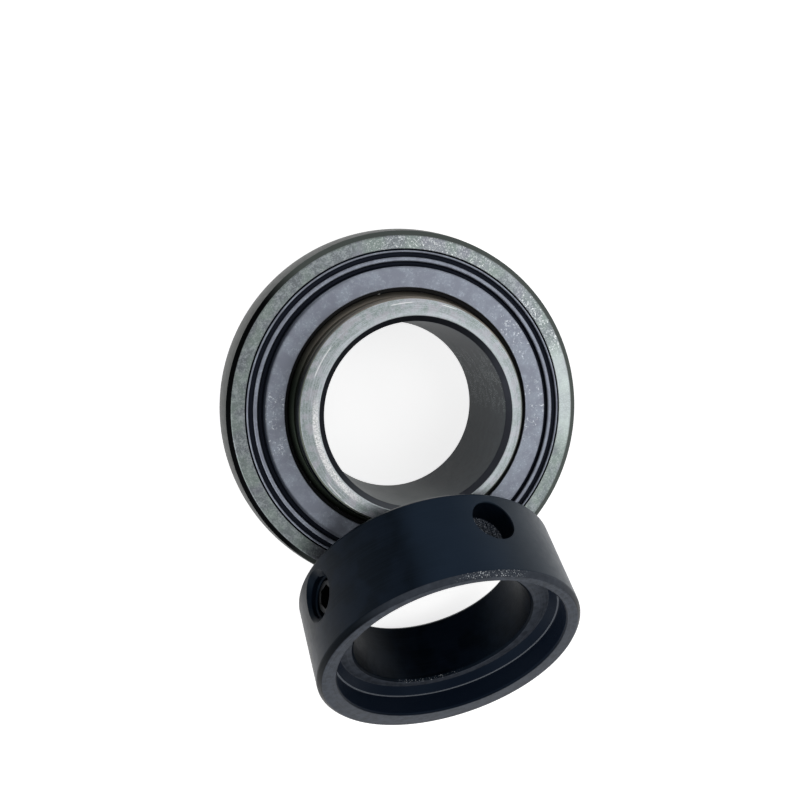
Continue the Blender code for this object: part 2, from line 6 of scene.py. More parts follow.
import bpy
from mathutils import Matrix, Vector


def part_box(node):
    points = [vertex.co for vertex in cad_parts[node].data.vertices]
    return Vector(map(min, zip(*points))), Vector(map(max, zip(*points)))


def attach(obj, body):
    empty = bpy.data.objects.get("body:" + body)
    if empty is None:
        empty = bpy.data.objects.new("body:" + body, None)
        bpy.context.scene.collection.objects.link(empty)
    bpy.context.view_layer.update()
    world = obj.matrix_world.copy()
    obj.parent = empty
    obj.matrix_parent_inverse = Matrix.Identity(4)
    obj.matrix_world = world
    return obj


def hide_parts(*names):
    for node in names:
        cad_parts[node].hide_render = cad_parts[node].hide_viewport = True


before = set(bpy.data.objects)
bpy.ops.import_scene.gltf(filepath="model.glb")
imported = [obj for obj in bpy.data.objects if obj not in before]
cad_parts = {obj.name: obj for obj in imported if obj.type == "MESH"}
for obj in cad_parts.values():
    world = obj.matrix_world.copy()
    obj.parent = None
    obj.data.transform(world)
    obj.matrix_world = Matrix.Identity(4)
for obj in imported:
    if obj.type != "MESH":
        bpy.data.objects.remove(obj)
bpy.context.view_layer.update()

# %% [markdown]
# The real parts are turned on a lathe, so nearly everything here starts as an outline of radius and
# height that is spun round an axis. Sizes are written in millimetres, as on a drawing, and turned
# into Blender's metres in one place.

# %% Tools and places
from math import acos, asin, cos, pi, radians, sin, sqrt, tan

import bmesh
import bpy
from mathutils import Color, Matrix, Vector

MM = 0.001
FINE_STEPS = 256
HOLE_STEPS = 64
CORNER_PARTS = 3
MERGE_DISTANCE = 0.0005 * MM
SHARP_ANGLE = radians(32.0)

ring_low, ring_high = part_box("outer_ring")
BEARING_CENTRE = (ring_low + ring_high) / 2
BEARING_PLACE = Matrix.Translation(BEARING_CENTRE)
print("bearing centre in mm:", [round(value / MM, 2) for value in BEARING_CENTRE])

# %% [markdown]
# A lathe leaves no perfectly sharp corner, and it is the small rounding that catches light. So each
# outline is first a flat face whose corners are bevelled by the amount written beside them, and only
# its edges are spun.

# %% Spin a turned piece
def turned(outline, steps=FINE_STEPS):
    """Spin a closed outline of radius, height and rounding, in millimetres, round the Z axis."""
    shape = bmesh.new()
    corners = [shape.verts.new((radius * MM, 0.0, height * MM)) for radius, height, _ in outline]
    shape.faces.new(corners)
    for rounding in sorted({corner[2] for corner in outline} - {0.0}):
        chosen = [vertex for vertex, corner in zip(corners, outline) if corner[2] == rounding]
        bmesh.ops.bevel(
            shape,
            geom=chosen,
            offset=rounding * MM,
            offset_type="OFFSET",
            segments=CORNER_PARTS,
            profile=0.5,
            affect="VERTICES",
            material=-1,
        )
    bmesh.ops.delete(shape, geom=shape.faces[:], context="FACES_ONLY")
    on_axis = [edge for edge in shape.edges if max(end.co.x for end in edge.verts) < MERGE_DISTANCE]
    bmesh.ops.delete(shape, geom=on_axis, context="EDGES")
    bmesh.ops.spin(
        shape,
        geom=shape.verts[:] + shape.edges[:],
        cent=(0.0, 0.0, 0.0),
        axis=(0.0, 0.0, 1.0),
        angle=2 * pi,
        steps=steps,
        use_merge=True,
    )
    bmesh.ops.remove_doubles(shape, verts=shape.verts[:], dist=MERGE_DISTANCE)
    bmesh.ops.recalc_face_normals(shape, faces=shape.faces[:])
    return shape


# %% [markdown]
# A finished piece's object stays at the origin and has its place in its mesh. Holes and recesses are
# taken out with booleans that are applied at once. Afterwards the large faces set the normals, so that
# a flat face next to a rounded corner is shaded flat.

# %% Settle and cut a piece
def settle(shape, name, place):
    """Make the shape a finished object: its place is in its mesh, and its corners are sharp."""
    bmesh.ops.transform(shape, matrix=place, verts=shape.verts[:])
    mesh = bpy.data.meshes.new(name)
    shape.to_mesh(mesh)
    shape.free()
    mesh.shade_smooth()
    mesh.set_sharp_from_angle(angle=SHARP_ANGLE)
    piece = bpy.data.objects.new(name, mesh)
    bpy.context.scene.collection.objects.link(piece)
    return piece


def cut_away(piece, *cutters):
    """Take the cutters' shapes out of the piece for good, and throw the cutters away."""
    for cutter in cutters:
        boolean = piece.modifiers.new(cutter.name, "BOOLEAN")
        boolean.operation = "DIFFERENCE"
        boolean.solver = "EXACT"
        boolean.object = cutter
    graph = bpy.context.evaluated_depsgraph_get()
    mesh = bpy.data.meshes.new_from_object(piece.evaluated_get(graph))
    piece.modifiers.clear()
    piece.data = mesh
    mesh.shade_smooth()
    mesh.set_sharp_from_angle(angle=SHARP_ANGLE)
    for cutter in cutters:
        bpy.data.objects.remove(cutter)
    return piece


def even_normals(piece):
    """Let the large faces set the normals, so that flat faces look flat beside rounded corners."""
    weighted = piece.modifiers.new("weighted", "WEIGHTED_NORMAL")
    weighted.keep_sharp = True
    graph = bpy.context.evaluated_depsgraph_get()
    mesh = bpy.data.meshes.new_from_object(piece.evaluated_get(graph))
    piece.modifiers.clear()
    piece.data = mesh


# %% [markdown]
# A raceway or a sphere is an arc in the outline, and the lower end of the bearing is the upper one
# turned over. A finished piece then takes the place of its CAD node.

# %% Help with outlines and stand in for a CAD node
def arc(centre_radius, radius, start, end, parts):
    """Corners of an arc in an outline, centred at the height of the balls, with no rounding."""
    angles = [start + (end - start) * index / parts for index in range(parts + 1)]
    return [(centre_radius + radius * cos(angle), radius * sin(angle), 0.0) for angle in angles]


def upside_down(outline):
    return [(radius, -height, rounding) for radius, height, rounding in outline]


def stand_in(piece, body, slot, *nodes):
    """The piece rides on a body and is shown in place of the CAD nodes it refines."""
    even_normals(piece)
    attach(piece, body)
    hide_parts(*nodes)
    print(piece.name, len(piece.data.polygons), "faces")
    return piece


# %% [markdown]
# The outer ring is spherical outside, so that the bearing can tilt in its housing. Its flat end faces are
# ground bright, while the narrow chamfer beside them is painted grey where it is lit and black, the colour
# of the hardening, on its shaded side. Inside, each end has a groove that holds a shield, and the raceway
# lies between two shoulders.

# %% Outer ring
BALL_RADIUS = 5.556
PITCH_RADIUS = 26.75
OUTER_RADIUS = 36.0
FACE_HEIGHT = 8.5
RIM_CHAMFER = 1.1
RIM_CHAMFER_HEIGHT = 0.5
MOUTH_RADIUS = 31.55
MOUTH_DEPTH = 0.5
GROOVE_RADIUS = 32.1
GROOVE_DEPTH = 1.7
SHOULDER_RADIUS = 30.2
SHOULDER_DEPTH = 2.4
RACE_RADIUS = 5.778
RACE_GAP = 0.09
SPHERE_PARTS = 28
RACE_PARTS = 16


def outer_ring_outline():
    rim_height = FACE_HEIGHT - RIM_CHAMFER_HEIGHT
    rim_angle = asin(rim_height / OUTER_RADIUS)
    sphere = arc(0.0, OUTER_RADIUS, rim_angle, -rim_angle, SPHERE_PARTS)
    corner = (OUTER_RADIUS * cos(rim_angle) - RIM_CHAMFER, FACE_HEIGHT, 0.1)
    seat = [
        (MOUTH_RADIUS, FACE_HEIGHT, 0.1),
        (MOUTH_RADIUS, FACE_HEIGHT - MOUTH_DEPTH, 0.05),
        (GROOVE_RADIUS, FACE_HEIGHT - MOUTH_DEPTH, 0.05),
        (GROOVE_RADIUS, FACE_HEIGHT - GROOVE_DEPTH, 0.1),
        (SHOULDER_RADIUS, FACE_HEIGHT - SHOULDER_DEPTH, 0.1),
    ]
    race_centre = PITCH_RADIUS + BALL_RADIUS + RACE_GAP - RACE_RADIUS
    half_angle = acos((SHOULDER_RADIUS - race_centre) / RACE_RADIUS)
    race = arc(race_centre, RACE_RADIUS, -half_angle, half_angle, RACE_PARTS)
    return [corner, *sphere, *upside_down([corner]), *upside_down(seat), *race, *reversed(seat)]


outer_ring = settle(turned(outer_ring_outline()), "outer_ring_ground", BEARING_PLACE)
stand_in(outer_ring, "bearing_and_collar", "ring_steel", "outer_ring")

# %% [markdown]
# The inner ring stands proud on one side. Its end is a cam: a cylinder whose axis is a millimetre off
# the shaft's axis, above a narrow relief groove. The collar's recess is eccentric too, so turning the
# collar wedges the two together. The cam is what is left of the round ring when an eccentric ring
# of waste is taken away, which is also how it is turned in a factory.

# %% Inner ring with its cam
SHAFT_RADIUS = 17.5
BARREL_RADIUS = 22.25
LAND_RADIUS = 23.3
CAM_RADIUS = 21.45
CAM_OFFSET = 1.0
CAM_DIRECTION = radians(141.0)
CAM_CHAMFER = 0.35
TOP_HEIGHT = 18.1
BOTTOM_HEIGHT = -9.5
CAM_BASE = 14.1
RELIEF_BASE = 13.1
RELIEF_ROOM = 0.15
BARREL_BASE = FACE_HEIGHT + 0.5
LAND_HEIGHT = FACE_HEIGHT - 0.3
BORE_CHAMFER = 1.1
CUT_MARGIN = 1.0


def inner_ring_outline():
    race_centre = PITCH_RADIUS - BALL_RADIUS - RACE_GAP + RACE_RADIUS
    half_angle = acos((race_centre - LAND_RADIUS) / RACE_RADIUS)
    race = arc(race_centre, RACE_RADIUS, pi - half_angle, pi + half_angle, RACE_PARTS)
    relief_radius = CAM_RADIUS - CAM_OFFSET - RELIEF_ROOM
    return [
        (BARREL_RADIUS, TOP_HEIGHT, 0.35),
        (BARREL_RADIUS, CAM_BASE, 0.08),
        (relief_radius, CAM_BASE, 0.05),
        (relief_radius, RELIEF_BASE, 0.15),
        (BARREL_RADIUS, RELIEF_BASE, 0.12),
        (BARREL_RADIUS, BARREL_BASE, 0.1),
        (LAND_RADIUS, LAND_HEIGHT, 0.1),
        *race,
        (LAND_RADIUS, BOTTOM_HEIGHT, 0.4),
        (SHAFT_RADIUS + BORE_CHAMFER, BOTTOM_HEIGHT, 0.1),
        (SHAFT_RADIUS, BOTTOM_HEIGHT + BORE_CHAMFER, 0.15),
        (SHAFT_RADIUS, TOP_HEIGHT - BORE_CHAMFER, 0.15),
        (SHAFT_RADIUS + BORE_CHAMFER, TOP_HEIGHT, 0.1),
    ]


def cam_waste_outline():
    """Waste round the cam, flared at the top to leave the cam's chamfer."""
    middle = (CAM_BASE + RELIEF_BASE) / 2
    outer = BARREL_RADIUS + 2 * CUT_MARGIN
    return [
        (outer, TOP_HEIGHT + CUT_MARGIN, 0.0),
        (outer, middle, 0.0),
        (CAM_RADIUS, middle, 0.0),
        (CAM_RADIUS, TOP_HEIGHT - CAM_CHAMFER, 0.12),
        (CAM_RADIUS - CAM_CHAMFER - CUT_MARGIN, TOP_HEIGHT + CUT_MARGIN, 0.0),
    ]


cam_offset = Vector((cos(CAM_DIRECTION), sin(CAM_DIRECTION), 0.0)) * CAM_OFFSET * MM
cam_place = BEARING_PLACE @ Matrix.Translation(cam_offset)
inner_ring = settle(turned(inner_ring_outline()), "inner_ring_cam", BEARING_PLACE)
cut_away(inner_ring, settle(turned(cam_waste_outline()), "cam_waste", cam_place))
stand_in(inner_ring, "inner_ring", "ring_steel", "inner_ring")

# %% [markdown]
# Nobody sees the inside while the shields are on, but it is what makes this a bearing. Nine balls stand
# evenly on a circle midway between the raceways. An icosphere has no poles, so a ball looks the same
# from every side as it rolls.

# %% Balls
BALL_COUNT = 9
BALL_SPACING = 2 * pi / BALL_COUNT
BALL_DETAIL = 5


def on_pitch_circle(turns):
    """Point on the balls' circle, counted in spaces between two balls."""
    angle = turns * BALL_SPACING
    return Vector((cos(angle), sin(angle), 0.0)) * PITCH_RADIUS * MM


def ball(index):
    shape = bmesh.new()
    bmesh.ops.create_icosphere(shape, subdivisions=BALL_DETAIL, radius=BALL_RADIUS * MM)
    place = BEARING_PLACE @ Matrix.Translation(on_pitch_circle(index))
    name = f"ball_{index + 1}"
    return stand_in(settle(shape, name + "_polished", place), name, "ball_steel", name)


balls = [ball(index) for index in range(BALL_COUNT)]

# %% [markdown]
# The cage keeps the balls apart. It is two strips of sheet steel, pressed into waves and riveted
# together between the balls. A strip is spun flat, its corners are lifted over the balls, and then
# the sheet gets its thickness and the holes for the rivets.

# %% Cage halves
STRIP_WIDTH = 3.8
STRIP_LANES = 4
STRIP_STEPS = 24
CAGE_SHEET = 0.7
HALF_PARTING = 0.15
POCKET_GAP = 0.3
POCKET_RADIUS = BALL_RADIUS + POCKET_GAP
RIVET_HEAD_TOP = 1.9
RIVET_HOLE_RADIUS = 1.1
RIVET_STEPS = 32


def wave_height(spot):
    """Height of a pressed strip over a spot: a pocket over a ball, or flat between two."""
    for index in range(BALL_COUNT):
        distance = (spot - on_pitch_circle(index)).length / MM
        if distance < POCKET_RADIUS:
            return max(HALF_PARTING, sqrt(POCKET_RADIUS ** 2 - distance ** 2))
    return HALF_PARTING


def wave_strip(side):
    """Wavy surface of a strip, over or under the balls, with its faces turned away from them."""
    lanes = [PITCH_RADIUS + STRIP_WIDTH * (lane / STRIP_LANES - 0.5) for lane in range(STRIP_LANES + 1)]
    strip = bmesh.new()
    corners = [strip.verts.new((radius * MM, 0.0, 0.0)) for radius in lanes]
    edges = [strip.edges.new(pair) for pair in zip(corners, corners[1:])]
    bmesh.ops.spin(
        strip,
        geom=corners + edges,
        cent=(0.0, 0.0, 0.0),
        axis=(0.0, 0.0, 1.0),
        angle=2 * pi,
        steps=BALL_COUNT * STRIP_STEPS,
        use_merge=True,
    )
    for corner in strip.verts:
        corner.co.z = side * wave_height(corner.co) * MM
    strip.normal_update()
    inward = [face for face in strip.faces if face.normal.z * side < 0.0]
    bmesh.ops.reverse_faces(strip, faces=inward)
    return strip


def rivet_holes():
    shape = bmesh.new()
    for index in range(BALL_COUNT):
        bmesh.ops.create_cone(
            shape,
            cap_ends=True,
            segments=RIVET_STEPS,
            radius1=RIVET_HOLE_RADIUS * MM,
            radius2=RIVET_HOLE_RADIUS * MM,
            depth=2 * RIVET_HEAD_TOP * MM,
            matrix=Matrix.Translation(on_pitch_circle(index + 0.5)),
        )
    return settle(shape, "rivet_holes", BEARING_PLACE)


def cage_half(end, side):
    half = settle(wave_strip(side), f"cage_{end}_pressed", BEARING_PLACE)
    sheet = half.modifiers.new("sheet", "SOLIDIFY")
    sheet.thickness = CAGE_SHEET * MM
    sheet.offset = 1.0
    sheet.use_even_offset = True
    cut_away(half, rivet_holes())
    return stand_in(half, "cage", "cage_steel", f"cage_{end}")


cage_pieces = [cage_half("upper", 1), cage_half("lower", -1)]

# %% [markdown]
# Each rivet is spun like the larger turned pieces: a thin shank between two low domed heads that clamp
# the halves of the cage.

# %% Rivets
RIVET_RADIUS = 0.8
RIVET_HEAD_RADIUS = 1.5
RIVET_HEAD_BASE = 1.15
RIVET_DOME = 0.25


def rivet_outline():
    half = [
        (0.0, RIVET_HEAD_TOP, 0.0),
        (RIVET_HEAD_RADIUS - RIVET_DOME, RIVET_HEAD_TOP - RIVET_DOME, 0.2),
        (RIVET_HEAD_RADIUS, RIVET_HEAD_BASE, 0.1),
        (RIVET_RADIUS, RIVET_HEAD_BASE, 0.0),
    ]
    return [*half, *upside_down(reversed(half))]


def rivet(index):
    place = BEARING_PLACE @ Matrix.Translation(on_pitch_circle(index + 0.5))
    name = f"cage_rivet_{index + 1}"
    piece = settle(turned(rivet_outline(), RIVET_STEPS), name + "_headed", place)
    return stand_in(piece, "cage", "cage_steel", name)


cage_pieces += [rivet(index) for index in range(BALL_COUNT)]

# %% [markdown]
# Each shield is pressed from thin zinc-plated sheet. From the outside in it has a flange rolled into
# the ring's groove, a bead, a valley, a ridge, a deep step and a wide raised cover. All the folds are
# generously rounded, as sheet has to be. Under the cover a rubber ring carries the sealing lip.

# %% Shields and seal lips
SHEET = 0.5
COVER_TOP = FACE_HEIGHT + 0.95
COVER_INNER_RADIUS = 24.05
COVER_SLOPE = 0.25
COVER_UNDERCUT = 0.8
SHIELD_ROOM = 0.3
BEAD_WIDTH = 0.35
BEAD_TOP = FACE_HEIGHT + 0.15
VALLEY_WIDTH = 0.85
VALLEY_FLOOR = FACE_HEIGHT - 0.6
RIDGE_WIDTH = 1.0
RIDGE_TOP = FACE_HEIGHT + 0.1
STEP_WIDTH = 0.7
STEP_FLOOR = FACE_HEIGHT - 0.75
FLANGE_TOP = FACE_HEIGHT - 0.8
FLANGE_BASE = FACE_HEIGHT - 1.4
FOLD_SLANT = 0.1


def shield_outline():
    flange = GROOVE_RADIUS - SHIELD_ROOM
    bead = MOUTH_RADIUS - SHIELD_ROOM
    valley = bead - BEAD_WIDTH
    ridge = valley - VALLEY_WIDTH
    step = ridge - RIDGE_WIDTH
    step_edge = step - STEP_WIDTH
    return [
        (COVER_INNER_RADIUS, COVER_TOP, 0.12),
        (step_edge - COVER_SLOPE, COVER_TOP, 0.35),
        (step_edge, STEP_FLOOR, 0.2),
        (step, STEP_FLOOR, 0.15),
        (step + FOLD_SLANT, RIDGE_TOP, 0.2),
        (ridge - FOLD_SLANT, RIDGE_TOP, 0.2),
        (ridge, VALLEY_FLOOR, 0.2),
        (valley - FOLD_SLANT, VALLEY_FLOOR, 0.15),
        (valley, BEAD_TOP, 0.12),
        (bead, BEAD_TOP, 0.15),
        (bead, FLANGE_TOP, 0.05),
        (flange, FLANGE_TOP, 0.05),
        (flange, FLANGE_BASE, 0.05),
        (step_edge - FOLD_SLANT, FLANGE_BASE, 0.1),
        (step_edge - COVER_UNDERCUT, COVER_TOP - SHEET, 0.3),
        (COVER_INNER_RADIUS, COVER_TOP - SHEET, 0.12),
    ]


SEAL_WIDTH = 2.6
SEAL_GAP = 0.3
SEAL_THICKNESS = 0.7
LIP_THICKNESS = 0.3
LIP_GAP = 0.1
LIP_LENGTH = 0.65


def seal_outline():
    inner = COVER_INNER_RADIUS + LIP_THICKNESS
    outer = COVER_INNER_RADIUS + SEAL_WIDTH
    top = COVER_TOP - SHEET - SEAL_GAP
    base = top - SEAL_THICKNESS
    lip = LAND_RADIUS + LIP_GAP
    return [
        (inner, top, 0.1),
        (outer, top, 0.1),
        (outer, base, 0.1),
        (inner, base, 0.1),
        (lip + LIP_THICKNESS, base - LIP_LENGTH, 0.08),
        (lip, base - LIP_LENGTH, 0.05),
        (lip, base, 0.1),
    ]


shields = []
seals = []
for end, flip in (("upper", list), ("lower", upside_down)):
    shield = settle(turned(flip(shield_outline())), end + "_shield_pressed", BEARING_PLACE)
    shields.append(stand_in(shield, "bearing_and_collar", "shield_steel", end + "_shield"))
    seal = settle(turned(flip(seal_outline())), end + "_seal_moulded", BEARING_PLACE)
    seals.append(stand_in(seal, "bearing_and_collar", "seal_rubber", end + "_seal_lip"))

# %% [markdown]
# The collar leans on the bearing with its back face and stands on that face's lower edge. Its place
# follows from its own sizes and from the box that its CAD node fills: local Z is its axis, from the
# back face at 0 to the front face, and local Y points up its back face.

# %% Place of the collar
COLLAR_RADIUS = 26.0
COLLAR_LENGTH = 18.7
COLLAR_BORE_RADIUS = 17.8
COLLAR_LEAN = radians(49.1)
COLLAR_SIDE_SHIFT = -1.2
COLLAR_CHAMFER = 0.8

collar_up = Vector((0.0, sin(COLLAR_LEAN), cos(COLLAR_LEAN)))
collar_axis = Vector((0.0, -cos(COLLAR_LEAN), sin(COLLAR_LEAN)))
collar_turn = Matrix(((1.0, 0.0, 0.0), collar_up, collar_axis)).transposed()
edge_corners = [(COLLAR_RADIUS - COLLAR_CHAMFER, 0.0), (COLLAR_RADIUS, COLLAR_CHAMFER)]
foot = max(radius * collar_up.z - height * collar_axis.z for radius, height in edge_corners)
front_corners = [(radius, COLLAR_LENGTH - height) for radius, height in edge_corners]
front = min(height * collar_axis.y - radius * collar_up.y for radius, height in front_corners)
collar_low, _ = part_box("locking_collar")
COLLAR_CENTRE = Vector((COLLAR_SIDE_SHIFT * MM, collar_low.y - front * MM, foot * MM))
COLLAR_PLACE = Matrix.LocRotScale(COLLAR_CENTRE, collar_turn, None)
print("back face's centre in mm:", [round(value / MM, 2) for value in COLLAR_CENTRE])

# %% [markdown]
# The collar's recess is as eccentric as the cam. One radial hole is threaded for the set screw, and a
# blind one takes the pin of a hook spanner. The blank is spun, then the recess and the holes, which
# are spun too, are taken out of it.

# %% Locking collar
RECESS_RADIUS = 22.4
RECESS_OFFSET = 1.3
RECESS_DIRECTION = radians(81.0)
RECESS_DEPTH = 4.1
RECESS_CHAMFER = 0.35
LEDGE_WIDTH = 0.25
SLOPE_WIDTH = 1.25
FLOOR_DEPTH = 5.6
FLOOR_RADIUS = RECESS_RADIUS - LEDGE_WIDTH - SLOPE_WIDTH
COLLAR_BORE_CHAMFER = 0.6
ENTRY_CHAMFER = 0.45
HOLE_HEIGHT = 6.7
SCREW_ANGLE = radians(153.5)
SCREW_HOLE_RADIUS = 4.0
SCREW_HOLE_CHAMFER = 1.0
SPANNER_ANGLE = radians(67.0)
SPANNER_HOLE_RADIUS = 4.25
SPANNER_HOLE_CHAMFER = 0.15
SPANNER_HOLE_DEPTH = 4.6
DRILL_SLOPE = radians(31.0)


def collar_outline():
    floor = COLLAR_LENGTH - FLOOR_DEPTH
    entry = COLLAR_BORE_RADIUS + ENTRY_CHAMFER
    return [
        (COLLAR_RADIUS - COLLAR_CHAMFER, COLLAR_LENGTH, 0.25),
        (COLLAR_RADIUS, COLLAR_LENGTH - COLLAR_CHAMFER, 0.3),
        (COLLAR_RADIUS, COLLAR_CHAMFER, 0.3),
        (COLLAR_RADIUS - COLLAR_CHAMFER, 0.0, 0.12),
        (COLLAR_BORE_RADIUS + COLLAR_BORE_CHAMFER, 0.0, 0.12),
        (COLLAR_BORE_RADIUS, COLLAR_BORE_CHAMFER, 0.12),
        (COLLAR_BORE_RADIUS, floor - ENTRY_CHAMFER, 0.1),
        (entry, floor, 0.0),
        (entry, COLLAR_LENGTH, 0.0),
    ]


def recess_outline():
    """Space of the recess: a straight wall, a narrow ledge and a slope down to the floor."""
    ledge = COLLAR_LENGTH - RECESS_DEPTH
    floor = COLLAR_LENGTH - FLOOR_DEPTH
    return [
        (0.0, COLLAR_LENGTH + CUT_MARGIN, 0.0),
        (RECESS_RADIUS + RECESS_CHAMFER + CUT_MARGIN, COLLAR_LENGTH + CUT_MARGIN, 0.0),
        (RECESS_RADIUS, COLLAR_LENGTH - RECESS_CHAMFER, 0.15),
        (RECESS_RADIUS, ledge, 0.04),
        (RECESS_RADIUS - LEDGE_WIDTH, ledge, 0.04),
        (FLOOR_RADIUS, floor, 0.1),
        (0.0, floor, 0.0),
    ]


def screw_hole_outline():
    return [
        (0.0, COLLAR_RADIUS + CUT_MARGIN, 0.0),
        (SCREW_HOLE_RADIUS + SCREW_HOLE_CHAMFER + CUT_MARGIN, COLLAR_RADIUS + CUT_MARGIN, 0.0),
        (SCREW_HOLE_RADIUS, COLLAR_RADIUS - SCREW_HOLE_CHAMFER, 0.1),
        (SCREW_HOLE_RADIUS, COLLAR_BORE_RADIUS / 2, 0.0),
        (0.0, COLLAR_BORE_RADIUS / 2, 0.0),
    ]


def spanner_hole_outline():
    """Blind hole with the cone that a drill's point leaves at its bottom."""
    base = COLLAR_RADIUS - SPANNER_HOLE_DEPTH
    return [
        (0.0, COLLAR_RADIUS + CUT_MARGIN, 0.0),
        (SPANNER_HOLE_RADIUS + SPANNER_HOLE_CHAMFER + CUT_MARGIN, COLLAR_RADIUS + CUT_MARGIN, 0.0),
        (SPANNER_HOLE_RADIUS, COLLAR_RADIUS - SPANNER_HOLE_CHAMFER, 0.1),
        (SPANNER_HOLE_RADIUS, base, 0.1),
        (0.0, base - SPANNER_HOLE_RADIUS * tan(DRILL_SLOPE), 0.0),
    ]


def radial_place(angle):
    """Place on the collar whose local Z points straight out from the collar's axis."""
    lift = Matrix.Translation((0.0, 0.0, HOLE_HEIGHT * MM))
    return COLLAR_PLACE @ lift @ Matrix.Rotation(angle, 4, "Z") @ Matrix.Rotation(pi / 2, 4, "Y")


recess_offset = Vector((cos(RECESS_DIRECTION), sin(RECESS_DIRECTION), 0.0)) * RECESS_OFFSET * MM
recess_place = COLLAR_PLACE @ Matrix.Translation(recess_offset)
collar = settle(turned(collar_outline()), "locking_collar_turned", COLLAR_PLACE)
cut_away(
    collar,
    settle(turned(recess_outline()), "recess", recess_place),
    settle(turned(screw_hole_outline(), HOLE_STEPS), "screw_hole", radial_place(SCREW_ANGLE)),
    settle(turned(spanner_hole_outline(), HOLE_STEPS), "spanner_hole", radial_place(SPANNER_ANGLE)),
)
stand_in(collar, "bearing_and_collar", "collar_steel", "locking_collar")

# %% [markdown]
# A screw thread is a helix: the small section of a ridge, spun about the hole's axis while it also
# climbs by one pitch a turn. The collar's thread stands inwards from the hole's wall and the screw's
# outwards from its core, with a little room between their crests. Each starts a little inside the
# piece that it grows from.

# %% Threads and set screw
THREAD_PITCH = 1.25
THREAD_TURN_STEPS = 40
THREAD_ROOT_HALF = THREAD_PITCH * 0.36
THREAD_CREST_HALF = THREAD_PITCH * 0.08
THREAD_SINK = 0.1
COLLAR_CREST = 3.76
SCREW_LENGTH = 5.0
SCREW_TOP = COLLAR_RADIUS - 2.0
SCREW_BOTTOM = SCREW_TOP - SCREW_LENGTH
SCREW_CREST = 3.66
SCREW_CORE = 3.3
CUP_RADIUS = 1.8
CUP_DEPTH = 0.8
SOCKET_ACROSS_FLATS = 4.0
SOCKET_DEPTH = 2.5


def thread(root, crest, start, end):
    """Helical ridge from its root radius to its crest radius, between two heights."""
    shape = bmesh.new()
    first = start + THREAD_ROOT_HALF
    turns = (end - start - 2 * THREAD_ROOT_HALF) / THREAD_PITCH
    section = [
        (root, first - THREAD_ROOT_HALF),
        (root, first + THREAD_ROOT_HALF),
        (crest, first + THREAD_CREST_HALF),
        (crest, first - THREAD_CREST_HALF),
    ]
    corners = [shape.verts.new((radius * MM, 0.0, height * MM)) for radius, height in section]
    face = shape.faces.new(corners)
    steps = round(turns * THREAD_TURN_STEPS)
    climb = turns * THREAD_PITCH / steps
    bmesh.ops.spin(
        shape,
        geom=corners + face.edges[:] + [face],
        cent=(0.0, 0.0, 0.0),
        axis=(0.0, 0.0, 1.0),
        dvec=(0.0, 0.0, climb * MM),
        angle=2 * pi * turns,
        steps=steps,
    )
    bmesh.ops.recalc_face_normals(shape, faces=shape.faces[:])
    return shape


def set_screw_outline():
    """Core of the screw, chamfered at the top and with a cup point at the bottom."""
    return [
        (0.0, SCREW_TOP, 0.0),
        (SCREW_CORE - 0.3, SCREW_TOP, 0.05),
        (SCREW_CORE, SCREW_TOP - 0.4, 0.1),
        (SCREW_CORE, SCREW_BOTTOM + 0.6, 0.1),
        (SCREW_CORE - 0.8, SCREW_BOTTOM, 0.08),
        (CUP_RADIUS, SCREW_BOTTOM, 0.08),
        (0.0, SCREW_BOTTOM + CUP_DEPTH, 0.0),
    ]


def socket_shape():
    """Six-sided socket, as a prism that stands half above the screw's top."""
    shape = bmesh.new()
    corner_radius = SOCKET_ACROSS_FLATS / 2 / cos(pi / 6) * MM
    bmesh.ops.create_cone(
        shape,
        cap_ends=True,
        segments=6,
        radius1=corner_radius,
        radius2=corner_radius,
        depth=2 * SOCKET_DEPTH * MM,
        matrix=Matrix.Translation((0.0, 0.0, SCREW_TOP * MM)),
    )
    return shape


screw_place = radial_place(SCREW_ANGLE)
collar_thread = settle(
    thread(SCREW_HOLE_RADIUS + THREAD_SINK, COLLAR_CREST, COLLAR_BORE_RADIUS + 0.3, COLLAR_RADIUS - 0.8),
    "collar_thread",
    screw_place,
)
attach(collar_thread, "bearing_and_collar")

screw = settle(turned(set_screw_outline(), HOLE_STEPS), "set_screw_threaded", screw_place)
cut_away(screw, settle(socket_shape(), "socket", screw_place))
stand_in(screw, "set_screw", "screw_steel", "set_screw")
screw_thread = settle(
    thread(SCREW_CORE - THREAD_SINK, SCREW_CREST, SCREW_BOTTOM + 0.4, SCREW_TOP - 0.2),
    "set_screw_thread",
    screw_place,
)
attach(screw_thread, "set_screw")
for piece in (collar_thread, screw_thread):
    print(piece.name, len(piece.data.polygons), "faces")

# %% [markdown]
# A finish is a tree of shader nodes. Two small helpers keep it readable: a wire is a node's output
# that Python can calculate with, so 1 - wire adds the Math node for it, and a finish adds any other
# node from its type, its settings and what its sockets take.

